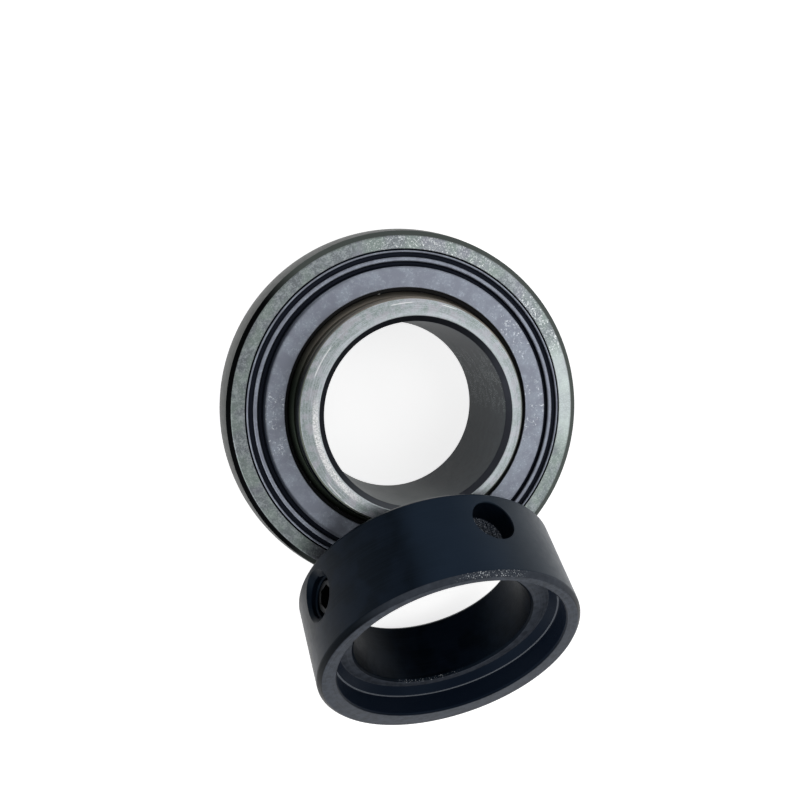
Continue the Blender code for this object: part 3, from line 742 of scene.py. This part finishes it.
# %% Wires
class Wire:
    """A node's output that Python's own signs can calculate with."""

    def __init__(self, finish, socket):
        self.finish = finish
        self.socket = socket

    def other(self, name):
        return Wire(self.finish, self.socket.node.outputs[name])

    def math(self, operation, *terms):
        return self.finish.node("ShaderNodeMath", {"operation": operation}, dict(enumerate(terms)))

    def __add__(self, term):
        return self.math("ADD", self, term)

    def __sub__(self, term):
        return self.math("SUBTRACT", self, term)

    def __rsub__(self, term):
        return self.math("SUBTRACT", term, self)

    def __mul__(self, term):
        return self.math("MULTIPLY", self, term)

    __radd__ = __add__
    __rmul__ = __mul__

    def size(self):
        return self.math("ABSOLUTE", self)

    def highest(self, *others):
        """The highest of this wire and the others, point by point."""
        top = self
        for wire in others:
            top = top.math("MAXIMUM", top, wire)
        return top

    def ramp(self, low, high):
        """Rise smoothly from 0 where the wire is low to 1 where it is high."""
        return self.finish.node(
            "ShaderNodeMapRange",
            {"interpolation_type": "SMOOTHSTEP"},
            {"Value": self, "From Min": low, "From Max": high},
        )

    def band(self, low, high, soft):
        """1 between low and high, falling to 0 over the soft edge."""
        return self.ramp(low - soft, low) * (1 - self.ramp(high, high + soft))

    def reaches(self, level):
        """1 on a flat face at a level in millimetres, and 0 a tenth below it."""
        return self.ramp(level - 0.1, level - 0.03)


# %% Finish of one material
class Finish:
    """One procedural material on a Principled shader."""

    def __init__(self, name, **constants):
        self.material = bpy.data.materials.new(name)
        self.material.use_nodes = True
        self.tree = self.material.node_tree
        self.shader = self.tree.nodes["Principled BSDF"]
        for socket, value in constants.items():
            self.shader.inputs[socket.replace("_", " ")].default_value = value

    def node(self, kind, settings, sockets, output=0):
        made = self.tree.nodes.new(kind)
        for name, value in settings.items():
            setattr(made, name, value)
        for name, value in sockets.items():
            if isinstance(value, Wire):
                self.tree.links.new(value.socket, made.inputs[name])
            else:
                made.inputs[name].default_value = value
        return Wire(self, made.outputs[output])

    def local(self, place):
        """Object coordinates in millimetres, seen from a piece's own place and axis."""
        position = self.node("ShaderNodeTexCoord", {}, {}, "Object")
        sockets = {
            "Vector": position,
            "Location": place.to_translation(),
            "Rotation": place.to_euler(),
            "Scale": (MM, MM, MM),
        }
        return self.node("ShaderNodeMapping", {"vector_type": "TEXTURE"}, sockets)

    def noise(self, vector, scale, detail=3.0, roughness=0.55):
        sockets = {"Vector": vector, "Scale": scale, "Detail": detail, "Roughness": roughness}
        return self.node("ShaderNodeTexNoise", {}, sockets)

    def mix(self, share, first, second):
        settings = {"data_type": "RGBA"}
        sockets = {"Factor": share, 6: first, 7: second}
        return self.node("ShaderNodeMix", settings, sockets, 2)

    def feed(self, **wires):
        for socket, wire in wires.items():
            self.tree.links.new(wire.socket, self.shader.inputs[socket.replace("_", " ")])

    def bump(self, height, depth, strength=1.0):
        sockets = {"Height": height, "Distance": depth * MM, "Strength": strength}
        self.feed(Normal=self.node("ShaderNodeBump", {}, sockets))


# %% [markdown]
# Wear and turning marks follow the way a piece was made and used, so they are written in a turned
# piece's own measures: how far from its axis, how high, and on which side.

# %% Dress a piece and measure places on it
def dress(material, *pieces):
    for piece in pieces:
        piece.data.materials.clear()
        piece.data.materials.append(material)
    print(material.name, "on", len(pieces), "pieces")


def paint(code):
    """Colour for a shader from the way it looks on a screen, as red, green and blue in hexadecimal."""
    shown = [int(code[index:index + 2], 16) / 255 for index in (0, 2, 4)]
    return (*Color(shown).from_srgb_to_scene_linear(), 1.0)


def around(finish, vector):
    """Radius, angle and height of a point round a piece's own axis."""
    x = finish.node("ShaderNodeSeparateXYZ", {}, {"Vector": vector})
    y = x.other("Y")
    radius = x.math("SQRT", x * x + y * y)
    return radius, x.math("ARCTAN2", y, x), x.other("Z")


def facing(finish, vector, direction):
    """1 on the side of the axis that a direction points to, falling to -1 on the far side."""
    x = finish.node("ShaderNodeSeparateXYZ", {}, {"Vector": vector})
    y = x.other("Y")
    reach = x * cos(direction) + y * sin(direction)
    return reach.math("DIVIDE", reach, x.math("SQRT", x * x + y * y))


def turning_marks(finish, vector, along, across):
    """Noise drawn out round the axis, as a cutting tool leaves it."""
    radius, _, height = around(finish, vector)
    x = finish.node("ShaderNodeSeparateXYZ", {}, {"Vector": vector})
    sockets = {
        "X": x.math("DIVIDE", x, radius) * along,
        "Y": x.math("DIVIDE", x.other("Y"), radius) * along,
        "Z": (radius + height) * across,
    }
    swept = finish.node("ShaderNodeCombineXYZ", {}, sockets)
    return finish.noise(swept, 1.0, detail=2.0)


# %% [markdown]
# The bearing's rings are hardened steel. The end faces are ground, which leaves them bright but mottled,
# with a faint grinding sparkle in patches, painted glints on a few arcs and a painted sheen on one side;
# everything that wasn't ground is grey-green to black.

# %% Finish of the outer ring
# Arcs of the outer ring's face that carry painted glints, and the side on which a sheen is painted.
PAINTED_GLINT_ARCS = ((radians(52.0), radians(92.0)), (radians(14.0), radians(33.0)))
PAINTED_SHEEN_DIRECTION = radians(-4.0)
# Side on which the chamfer is painted black, as painted shade.
SHADED_CHAMFER_SIDE = radians(176.0)


def ground_face(finish, spot, angle, clouds, grains):
    """Grey of a ground face: mottled and tinted in large patches, with painted glints on a few arcs and a
    painted sheen on one side.
    """
    patches = finish.noise(spot, 0.22, detail=2.0)
    tints = finish.noise(spot, 0.13, detail=2.0)
    bright = (clouds * 0.5 + grains * 0.5).ramp(0.42, 0.64)
    ground = finish.mix(bright, paint("787e82"), paint("aab1b4"))
    ground = finish.mix(patches.ramp(0.42, 0.62) * 0.5, ground, paint("90a096"))
    ground = finish.mix(tints.ramp(0.5, 0.68) * 0.5, ground, paint("908e9d"))
    # Painted highlight: a sheen painted on one side of the ground face.
    painted_sheen = facing(finish, spot, PAINTED_SHEEN_DIRECTION).ramp(0.93, 0.995)
    ground = finish.mix(painted_sheen * (0.15 + 0.5 * patches), ground, paint("e2edeb"))
    # Painted glints: white specks painted on a few arcs, and faintly in patches elsewhere.
    glint_arcs = [angle.band(start, end, 0.12) for start, end in PAINTED_GLINT_ARCS]
    painted_glint_zones = (patches.ramp(0.5, 0.62) * 0.2).highest(*glint_arcs)
    painted_glints = grains.ramp(0.58, 0.63) * painted_glint_zones * (0.3 + 0.7 * clouds.ramp(0.42, 0.55))
    return finish.mix(painted_glints, ground, paint("f4f8f8"))


def outer_ring_finish():
    finish = Finish("outer_ring_steel", Metallic=1.0)
    spot = finish.local(BEARING_PLACE)
    radius, angle, height = around(finish, spot)
    level = height.size()
    face = level.reaches(FACE_HEIGHT)
    chamfer_height = FACE_HEIGHT - RIM_CHAMFER_HEIGHT
    chamfer = level.ramp(chamfer_height - 0.08, chamfer_height + 0.04) * radius.ramp(33.5, 33.7)
    inside = 1 - radius.ramp(32.6, 32.9)
    clouds = finish.noise(spot, 0.9, detail=4.0, roughness=0.65)
    grains = finish.noise(spot, 3.6, detail=3.0, roughness=0.75)
    marks = turning_marks(finish, spot, 2.5, 5.0)
    satin = finish.mix(marks.ramp(0.35, 0.65), paint("1d211f"), paint("2a2e2c"))
    # The chamfer is painted a lit grey here, and black on one side just below: painted light and shade.
    satin = finish.mix(chamfer, satin, paint("565c59"))
    scale = chamfer * facing(finish, spot, SHADED_CHAMFER_SIDE).ramp(0.5, 0.75)
    colour = finish.mix(scale, satin, paint("08090a"))
    colour = finish.mix(inside, colour, paint("3a3f45"))
    colour = finish.mix(face, colour, ground_face(finish, spot, angle, clouds, grains))
    finish.feed(Base_Color=colour, Roughness=0.26 + 0.2 * clouds + 0.12 * (1 - face))
    finish.bump(grains * face * 0.8 + marks * 0.5, 0.02)
    return finish.material


dress(outer_ring_finish(), outer_ring)

# %% [markdown]
# The inner ring's end face has the brightest steel, with a painted highlight beside the bore on one side
# and short white arcs where a tool or a shaft has touched it. Its side is dark, with thin brown and green
# bands from turning and heat, and painted lighter and browner on the far side, where it is lit; its bore is
# a dull grey with a few scuffs.

# %% Finish of the inner ring
ARC_MARKS = (
    (radians(24.0), radians(31.0), 20.9),
    (radians(62.0), radians(67.0), 21.0),
    (radians(85.0), radians(94.0), 21.0),
    (radians(134.0), radians(149.0), 20.7),
    (radians(-152.0), radians(-144.0), 21.0),
    (radians(-139.0), radians(-131.0), 21.2),
)
# Side where a highlight is painted on the end face beside the bore.
EDGE_HIGHLIGHT_DIRECTION = radians(-166.0)
LOW_DIRECTION = radians(-112.0)
# Side on which the ring's side is painted lighter and browner, as painted light.
LIT_FAR_SIDE = radians(81.0)
SCUFFED_SIDE = radians(12.0)


def end_face(finish, spot, radius, angle, clouds, grains, marks):
    """Bright ground steel with fine streaks round the axis, a painted highlight beside the bore and a few
    white arcs.
    """
    ground = finish.mix(clouds.ramp(0.35, 0.65), paint("8d9996"), paint("a9b0b6"))
    ground = finish.mix(clouds.ramp(0.48, 0.58) * 0.4, ground, paint("bab1b8"))
    ground = finish.mix(grains.ramp(0.45, 0.6) * 0.5, ground, paint("c2c9cf"))
    ground = finish.mix(marks.ramp(0.45, 0.7) * 0.6, ground, paint("cdd4da"))
    near_bore = 1 - radius.ramp(SHAFT_RADIUS + 1.3, SHAFT_RADIUS + 2.4)
    ground = finish.mix(near_bore * 0.3, ground, paint("e1e8ed"))
    # Painted highlight: a white band beside the bore on one side, where the rounded inner edge catches the
    # light.
    painted_edge_highlight = facing(finish, spot, EDGE_HIGHLIGHT_DIRECTION).ramp(0.78, 0.97) * radius.band(18.9, 19.7, 0.3)
    ground = finish.mix(painted_edge_highlight * (0.35 + 0.65 * grains.ramp(0.42, 0.58)), ground, paint("ffffff"))
    for start, end, centre in ARC_MARKS:
        stroke = angle.band(start, end, 0.04) * radius.band(centre - 0.03, centre + 0.03, 0.1)
        ground = finish.mix(stroke * 0.7, ground, paint("ffffff"))
    return ground


def ring_side(finish, spot, height):
    """Nearly black side with thin brown and green bands, painted browner and lighter on the far side, where
    it is lit.
    """
    bands = turning_marks(finish, spot, 0.6, 1.6)
    side = finish.mix(bands.ramp(0.42, 0.6), paint("0f1316"), paint("2f362f"))
    side = finish.mix(height.ramp(TOP_HEIGHT - 1.8, TOP_HEIGHT - 0.5) * 0.7, side, paint("6b7167"))
    lit_brown = finish.mix(bands.ramp(0.4, 0.6), paint("6d6760"), paint("8e887e"))
    # Painted light: the far side is painted lighter and browner where it is lit.
    far = facing(finish, spot, LIT_FAR_SIDE).ramp(0.2, 1.0) * height.ramp(7.9, 8.1)
    return finish.mix(far, side, lit_brown)


def bore_wall(finish, spot, clouds, grains, low):
    """Dull grey wall, with scuffs on one side and lighter towards the collar."""
    wall = finish.mix(clouds.ramp(0.3, 0.7), paint("3c4145"), paint("484e52"))
    scuffs = grains.ramp(0.54, 0.6) * clouds.ramp(0.48, 0.55)
    scuffs = scuffs * facing(finish, spot, SCUFFED_SIDE).ramp(0.9, 0.98)
    wall = finish.mix(scuffs, wall, paint("a3a9a9"))
    return finish.mix(low * 0.6, wall, paint("858b8b"))


def inner_ring_finish():
    finish = Finish("inner_ring_steel", Specular_IOR_Level=0.04)
    spot = finish.local(BEARING_PLACE)
    radius, angle, height = around(finish, spot)
    face = height.reaches(TOP_HEIGHT) + (0 - height).reaches(-BOTTOM_HEIGHT)
    bore = 1 - radius.ramp(SHAFT_RADIUS + 0.02, SHAFT_RADIUS + 0.08)
    chamfer = 1 - radius.ramp(SHAFT_RADIUS + BORE_CHAMFER - 0.1, SHAFT_RADIUS + BORE_CHAMFER - 0.02)
    clouds = finish.noise(spot, 0.5, detail=3.0)
    grains = finish.noise(spot, 4.0, detail=3.0, roughness=0.7)
    marks = turning_marks(finish, spot, 3.0, 7.0)
    low = facing(finish, spot, LOW_DIRECTION).ramp(0.7, 1.0)
    edge = finish.mix(low, paint("33353b"), paint("55585d"))
    colour = finish.mix(chamfer, ring_side(finish, spot, height), edge)
    colour = finish.mix(bore, colour, bore_wall(finish, spot, clouds, grains, low))
    colour = finish.mix(face, colour, end_face(finish, spot, radius, angle, clouds, grains, marks))
    finish.feed(Base_Color=colour, Metallic=1 - bore, Roughness=0.36 + 0.16 * clouds)
    finish.bump(marks * 0.7 + grains * 0.3, 0.012)
    return finish.material


dress(inner_ring_finish(), inner_ring)

# %% [markdown]
# The shields have a satin blue-grey plating with a fine sparkle, brightened by painted glints on a few
# sides. Their valleys, step and the cover's outer slope are painted dark, as painted shade.

# %% Finish of the shields and seals
# Side on which the cover's slope is painted darkest, as painted shade.
NEAR_SIDE = radians(175.0)
# Sides of the cover that carry painted glints.
PAINTED_GLINT_DIRECTIONS = (radians(-10.0), radians(26.0), radians(176.0))


def shield_finish():
    finish = Finish("plated_shield_steel", Metallic=0.85)
    spot = finish.local(BEARING_PLACE)
    radius, _, height = around(finish, spot)
    # Painted shade: the valleys, the step and the cover's outer slope are painted dark, the slope darkest
    # on the near side.
    painted_valley_shade = 1 - height.size().ramp(FACE_HEIGHT - 0.4, FACE_HEIGHT - 0.05)
    near = facing(finish, spot, NEAR_SIDE).ramp(0.2, 0.95)
    slope = radius.band(28.25, 28.9, 0.25)
    shaded_near_slope = radius.band(27.95, 28.9, 0.6) * near
    clouds = finish.noise(spot, 0.35, detail=3.0)
    speckle = finish.noise(spot, 2.6, detail=4.0, roughness=0.75)
    plate = finish.mix(clouds.ramp(0.35, 0.65), paint("8a8f9c"), paint("99a0ad"))
    plate = finish.mix(speckle.ramp(0.52, 0.66) * clouds.ramp(0.3, 0.6) * 0.45, plate, paint("ced9e5"))
    # Painted glints: a brighter sparkle painted only on a few sides of the cover.
    painted_glint_zones = [facing(finish, spot, direction).ramp(0.955, 0.99) for direction in PAINTED_GLINT_DIRECTIONS]
    wisps = finish.noise(spot, 0.8, detail=3.0).ramp(0.46, 0.6)
    on_cover = 1 - radius.ramp(28.1, 28.4)
    painted_sparkle = speckle.ramp(0.55, 0.61) * painted_glint_zones[0].highest(*painted_glint_zones[1:]) * wisps * on_cover
    plate = finish.mix(painted_sparkle, plate, paint("e6ecf2"))
    colour = finish.mix(slope.highest(shaded_near_slope), plate, paint("1a202a"))
    colour = finish.mix(painted_valley_shade, colour, paint("1d222e"))
    finish.feed(Base_Color=colour, Roughness=0.36 + 0.14 * clouds + 0.2 * painted_valley_shade)
    finish.bump(speckle, 0.012)
    return finish.material


def rubber_finish():
    finish = Finish("moulded_seal_rubber", Roughness=0.62)
    spot = finish.local(BEARING_PLACE)
    mould = finish.noise(spot, 3.0, detail=4.0)
    finish.feed(Base_Color=finish.mix(mould, paint("17181a"), paint("242628")))
    finish.bump(mould, 0.02)
    return finish.material


dress(shield_finish(), *shields)
dress(rubber_finish(), *seals)

# %% [markdown]
# The collar is blackened steel, oiled: deep blue-black and half glossy outside, with a painted bluish sheen
# on top and painted light that greys one side, grey on the turned faces, scuffed and specked on its edges,
# and dark in the bore and the recess.

# %% Finish of the collar
SCUFF_DIRECTION = radians(76.0)
# Sides of the collar's outside that are painted lighter and bluer, as painted light.
PAINTED_LIT_SIDE = radians(15.0)
PAINTED_SHEEN_TOP = radians(84.0)
LOW_SIDE = radians(-97.0)


def collar_skin(finish, spot, marks):
    """Oiled black oxide: blue-black, with a painted bluish sheen on top and painted light that makes it
    greyer towards one side.
    """
    clouds = finish.noise(spot, 0.16, detail=2.0)
    oxide = finish.mix(clouds.ramp(0.4, 0.6), paint("02060d"), paint("080f19"))
    oxide = finish.mix(marks.ramp(0.45, 0.75) * 0.3, oxide, paint("131b25"))
    radius, _, _ = around(finish, spot)
    outside = radius.ramp(COLLAR_RADIUS - 0.4, COLLAR_RADIUS - 0.1)
    # Painted highlight: a bluish sheen painted on the top of the outside.
    blue = facing(finish, spot, PAINTED_SHEEN_TOP).ramp(0.9, 0.99) * outside
    oxide = finish.mix(blue * 0.6, oxide, paint("212d3c"))
    # Painted light: the outside is painted greyer towards the lit side.
    light = facing(finish, spot, PAINTED_LIT_SIDE).ramp(0.3, 0.95) * outside
    return finish.mix(light * 0.7, oxide, paint("343d47"))


def collar_faces(finish, spot, marks, patches, colour):
    """Grey where the oxide has been rubbed off: both end faces, the recess floor and its ledge."""
    radius, _, height = around(finish, spot)
    recess_radius, _, _ = around(finish, finish.local(recess_place))
    floor_height = COLLAR_LENGTH - FLOOR_DEPTH
    ledge_height = COLLAR_LENGTH - RECESS_DEPTH
    turned_face = finish.mix(patches.ramp(0.35, 0.65), paint("30343b"), paint("3f444d"))
    turned_face = finish.mix(marks.ramp(0.5, 0.8) * 0.5, turned_face, paint("52565f"))
    front_face = height.reaches(COLLAR_LENGTH)
    back_face = (0 - height).reaches(0.0)
    floor_face = height.band(floor_height - 0.02, floor_height + 0.02, 0.03)
    floor_face = floor_face * radius.band(COLLAR_BORE_RADIUS + 0.4, FLOOR_RADIUS + RECESS_OFFSET, 0.1)
    wall = recess_radius.band(FLOOR_RADIUS - 0.1, RECESS_RADIUS + 0.1, 0.05)
    wall = wall * height.ramp(floor_height, floor_height + 0.1) * (1 - front_face)
    ledge = height.band(ledge_height - 0.03, ledge_height + 0.04, 0.03)
    ledge = ledge * recess_radius.band(RECESS_RADIUS - LEDGE_WIDTH - 0.05, RECESS_RADIUS + 0.02, 0.03)
    colour = finish.mix(wall, colour, paint("111926"))
    for mask in (front_face, back_face, floor_face):
        colour = finish.mix(mask, colour, turned_face)
    return finish.mix(ledge, colour, paint("70757d"))


def collar_wear(finish, spot, grains, patches, colour):
    """Black chamfer, scuffed on top, bright specks on the edges and a rough drilled cone."""
    radius, _, height = around(finish, spot)
    chamfer_height = COLLAR_LENGTH - COLLAR_CHAMFER
    chamfer = height.ramp(chamfer_height - 0.15, chamfer_height) * radius.ramp(25.1, 25.25)
    rubbed = facing(finish, spot, SCUFF_DIRECTION).ramp(0.45, 0.9)
    scuffed = facing(finish, spot, SCUFF_DIRECTION).ramp(0.955, 0.995)
    colour = finish.mix(chamfer, colour, paint("010203"))
    colour = finish.mix(chamfer * rubbed * (0.3 + patches * 0.6), colour, paint("4a4f58"))
    colour = finish.mix(chamfer * scuffed * grains.ramp(0.57, 0.64), colour, paint("c9ced2"))
    entry_height = COLLAR_LENGTH - FLOOR_DEPTH
    entry_radius = COLLAR_BORE_RADIUS + ENTRY_CHAMFER
    entry = height.band(entry_height - ENTRY_CHAMFER, entry_height + 0.02, 0.05)
    entry = entry * (1 - radius.ramp(entry_radius, entry_radius + 0.1))
    low = facing(finish, spot, LOW_SIDE).ramp(0.9, 0.97)
    colour = finish.mix(entry * low * grains.ramp(0.58, 0.65), colour, paint("a3a8ac"))
    drill_radius, _, drill_height = around(finish, finish.local(radial_place(SPANNER_ANGLE)))
    drilled = 1 - drill_radius.ramp(SPANNER_HOLE_RADIUS - 0.15, SPANNER_HOLE_RADIUS)
    drilled = drilled * drill_height.band(COLLAR_BORE_RADIUS - 1.0, COLLAR_RADIUS - SPANNER_HOLE_DEPTH, 0.1)
    colour = finish.mix(drilled * grains.ramp(0.4, 0.6), colour, paint("686d76"))
    colour = finish.mix(drilled * grains.ramp(0.6, 0.66), colour, paint("c9cdd2"))
    return colour, drilled


def collar_finish():
    finish = Finish("blackened_collar_steel", Specular_IOR_Level=0.085, Specular_Tint=paint("a8c8e8"))
    spot = finish.local(COLLAR_PLACE)
    patches = finish.noise(spot, 0.7, detail=4.0, roughness=0.6)
    grains = finish.noise(spot, 3.5, detail=4.0, roughness=0.7)
    marks = turning_marks(finish, spot, 1.5, 4.0)
    colour = collar_skin(finish, spot, marks)
    colour = collar_faces(finish, spot, marks, patches, colour)
    colour, drilled = collar_wear(finish, spot, grains, patches, colour)
    finish.feed(Base_Color=colour, Roughness=0.26 + 0.2 * patches)
    finish.bump(marks * 0.5 + grains * 0.4 + drilled * grains * 4.0, 0.015)
    return finish.material


dress(collar_finish(), collar, collar_thread)

# %% [markdown]
# Inside, out of sight between the shields, the balls are polished and the cage is plain pressed steel.
# The screw is black like the collar, a little glossier.

# %% Finish of the inner pieces
def plain_steel(name, dark, light, scale, low, high, place):
    """Steel that wanders between two colours, and between two roughnesses."""
    finish = Finish(name, Metallic=1.0)
    clouds = finish.noise(finish.local(place), scale, detail=4.0)
    finish.feed(Base_Color=finish.mix(clouds, paint(dark), paint(light)))
    finish.feed(Roughness=clouds * (high - low) + low)
    finish.bump(clouds, 0.005)
    return finish.material


dress(plain_steel("polished_ball_steel", "b9babd", "cfd1d3", 0.6, 0.06, 0.12, BEARING_PLACE), *balls)
dress(plain_steel("pressed_cage_steel", "8c877d", "a8a297", 1.2, 0.3, 0.45, BEARING_PLACE), *cage_pieces)
black_steel = plain_steel("black_screw_steel", "1b1c1e", "2e3033", 1.5, 0.3, 0.5, COLLAR_PLACE)
dress(black_steel, screw, screw_thread)

# %% [markdown]
# A plain white floor and soft light, as on a photographer's table. The floor takes the shadow, and
# far from the bearing it turns into plain white, so that no horizon shows.

# %% Floor
FLOOR_REACH = 6.0
FLOOR_DROP = 0.02
FLOOR_GREY = 0.8
NEAR_GLOW = 0.75
GLOW_DISTANCES = (0.25, 0.9)


def build_floor():
    shape = bmesh.new()
    bmesh.ops.create_grid(shape, x_segments=1, y_segments=1, size=FLOOR_REACH)
    bmesh.ops.translate(shape, verts=shape.verts[:], vec=(0.0, 0.0, -FLOOR_DROP * MM))
    mesh = bpy.data.meshes.new("white_floor")
    shape.to_mesh(mesh)
    shape.free()
    floor = bpy.data.objects.new("white_floor", mesh)
    bpy.context.scene.collection.objects.link(floor)
    return floor


def floor_finish():
    finish = Finish("white_paper", Roughness=0.9, Specular_IOR_Level=0.0)
    position = finish.node("ShaderNodeTexCoord", {}, {}, "Object")
    far = finish.node("ShaderNodeVectorMath", {"operation": "LENGTH"}, {0: position}, "Value")
    rays = finish.node("ShaderNodeLightPath", {}, {}, "Is Camera Ray")
    seen = rays.highest(rays.other("Is Glossy Ray"), rays.other("Is Transmission Ray"))
    finish.shader.inputs["Base Color"].default_value = (FLOOR_GREY, FLOOR_GREY, FLOOR_GREY, 1.0)
    finish.shader.inputs["Emission Color"].default_value = (1.0, 1.0, 1.0, 1.0)
    glow = seen * (NEAR_GLOW + (1.0 - NEAR_GLOW) * far.ramp(*GLOW_DISTANCES))
    finish.tree.links.new(glow.socket, finish.shader.inputs["Emission Strength"])
    return finish.material


floor = build_floor()
floor.data.materials.append(floor_finish())
print("floor reaches", FLOOR_REACH, "m each way")

# %% [markdown]
# Two soft boxes and a white room light the object. The room is plain white near the horizon, which is
# what the polished edges show, and dimmer overhead, so that the upper faces keep their own grey.

# %% Lights and surroundings
HORIZON_LIGHT = 1.0
OVERHEAD_LIGHT = 0.45
DIMMING_HEIGHTS = (0.15, 0.7)


def soft_box(name, place, target, size, power):
    light = bpy.data.lights.new(name, "AREA")
    light.shape = "RECTANGLE"
    light.size, light.size_y = size
    light.energy = power
    lamp = bpy.data.objects.new(name, light)
    lamp.location = place
    lamp.rotation_euler = (Vector(target) - Vector(place)).to_track_quat("-Z", "Y").to_euler()
    bpy.context.scene.collection.objects.link(lamp)
    print(name, power, "W")


soft_box("key_softbox", (0.38, 0.0, 0.75), (0.0, 0.0, 0.0), (0.5, 0.5), 1.0)
soft_box("fill_softbox", (-0.6, -0.2, 0.5), (0.0, 0.0, 0.0), (0.4, 0.6), 1.2)

world = bpy.data.worlds.new("white_studio")
bpy.context.scene.world = world
world.use_nodes = True
nodes = world.node_tree.nodes
direction = nodes.new("ShaderNodeTexCoord")
split = nodes.new("ShaderNodeSeparateXYZ")
level = nodes.new("ShaderNodeMapRange")
level.inputs["From Min"].default_value = DIMMING_HEIGHTS[0]
level.inputs["From Max"].default_value = DIMMING_HEIGHTS[1]
level.inputs["To Min"].default_value = HORIZON_LIGHT
level.inputs["To Max"].default_value = OVERHEAD_LIGHT
background = nodes["Background"]
background.inputs["Color"].default_value = (1.0, 1.0, 1.0, 1.0)
world.node_tree.links.new(direction.outputs["Generated"], split.inputs["Vector"])
world.node_tree.links.new(split.outputs["Z"], level.inputs["Value"])
world.node_tree.links.new(level.outputs["Result"], background.inputs["Strength"])

# %% [markdown]
# The camera stands nearly above the bearing, a little to the left and away from the collar, and is
# tilted as the one that took the photograph was. Its place, tilt and lens come from fitting the rings'
# circles to the ellipses that they make in the picture.

# %% Camera
CAMERA_PLACE = BEARING_CENTRE + Vector((-38.59, 23.46, 199.3)) * MM
CAMERA_FORWARD = Vector((0.1919, -0.1082, -0.9755)).normalized()
CAMERA_RIGHT = Vector((0.9661, -0.1539, 0.2071))
LENS = 44.91
SENSOR_WIDTH = 36.0
CLIP_START = 0.01

camera_data = bpy.data.cameras.new("camera")
camera_data.lens = LENS
camera_data.sensor_width = SENSOR_WIDTH
camera_data.clip_start = CLIP_START
camera = bpy.data.objects.new("camera", camera_data)
right = (CAMERA_RIGHT - CAMERA_FORWARD * CAMERA_RIGHT.dot(CAMERA_FORWARD)).normalized()
up = right.cross(CAMERA_FORWARD)
turn = Matrix((right, up, -CAMERA_FORWARD)).transposed()
camera.matrix_world = Matrix.LocRotScale(CAMERA_PLACE, turn, None)
bpy.context.scene.collection.objects.link(camera)
bpy.context.scene.camera = camera
bpy.context.scene.view_settings.view_transform = "Standard"
print("camera in mm:", [round(value / MM, 1) for value in CAMERA_PLACE])
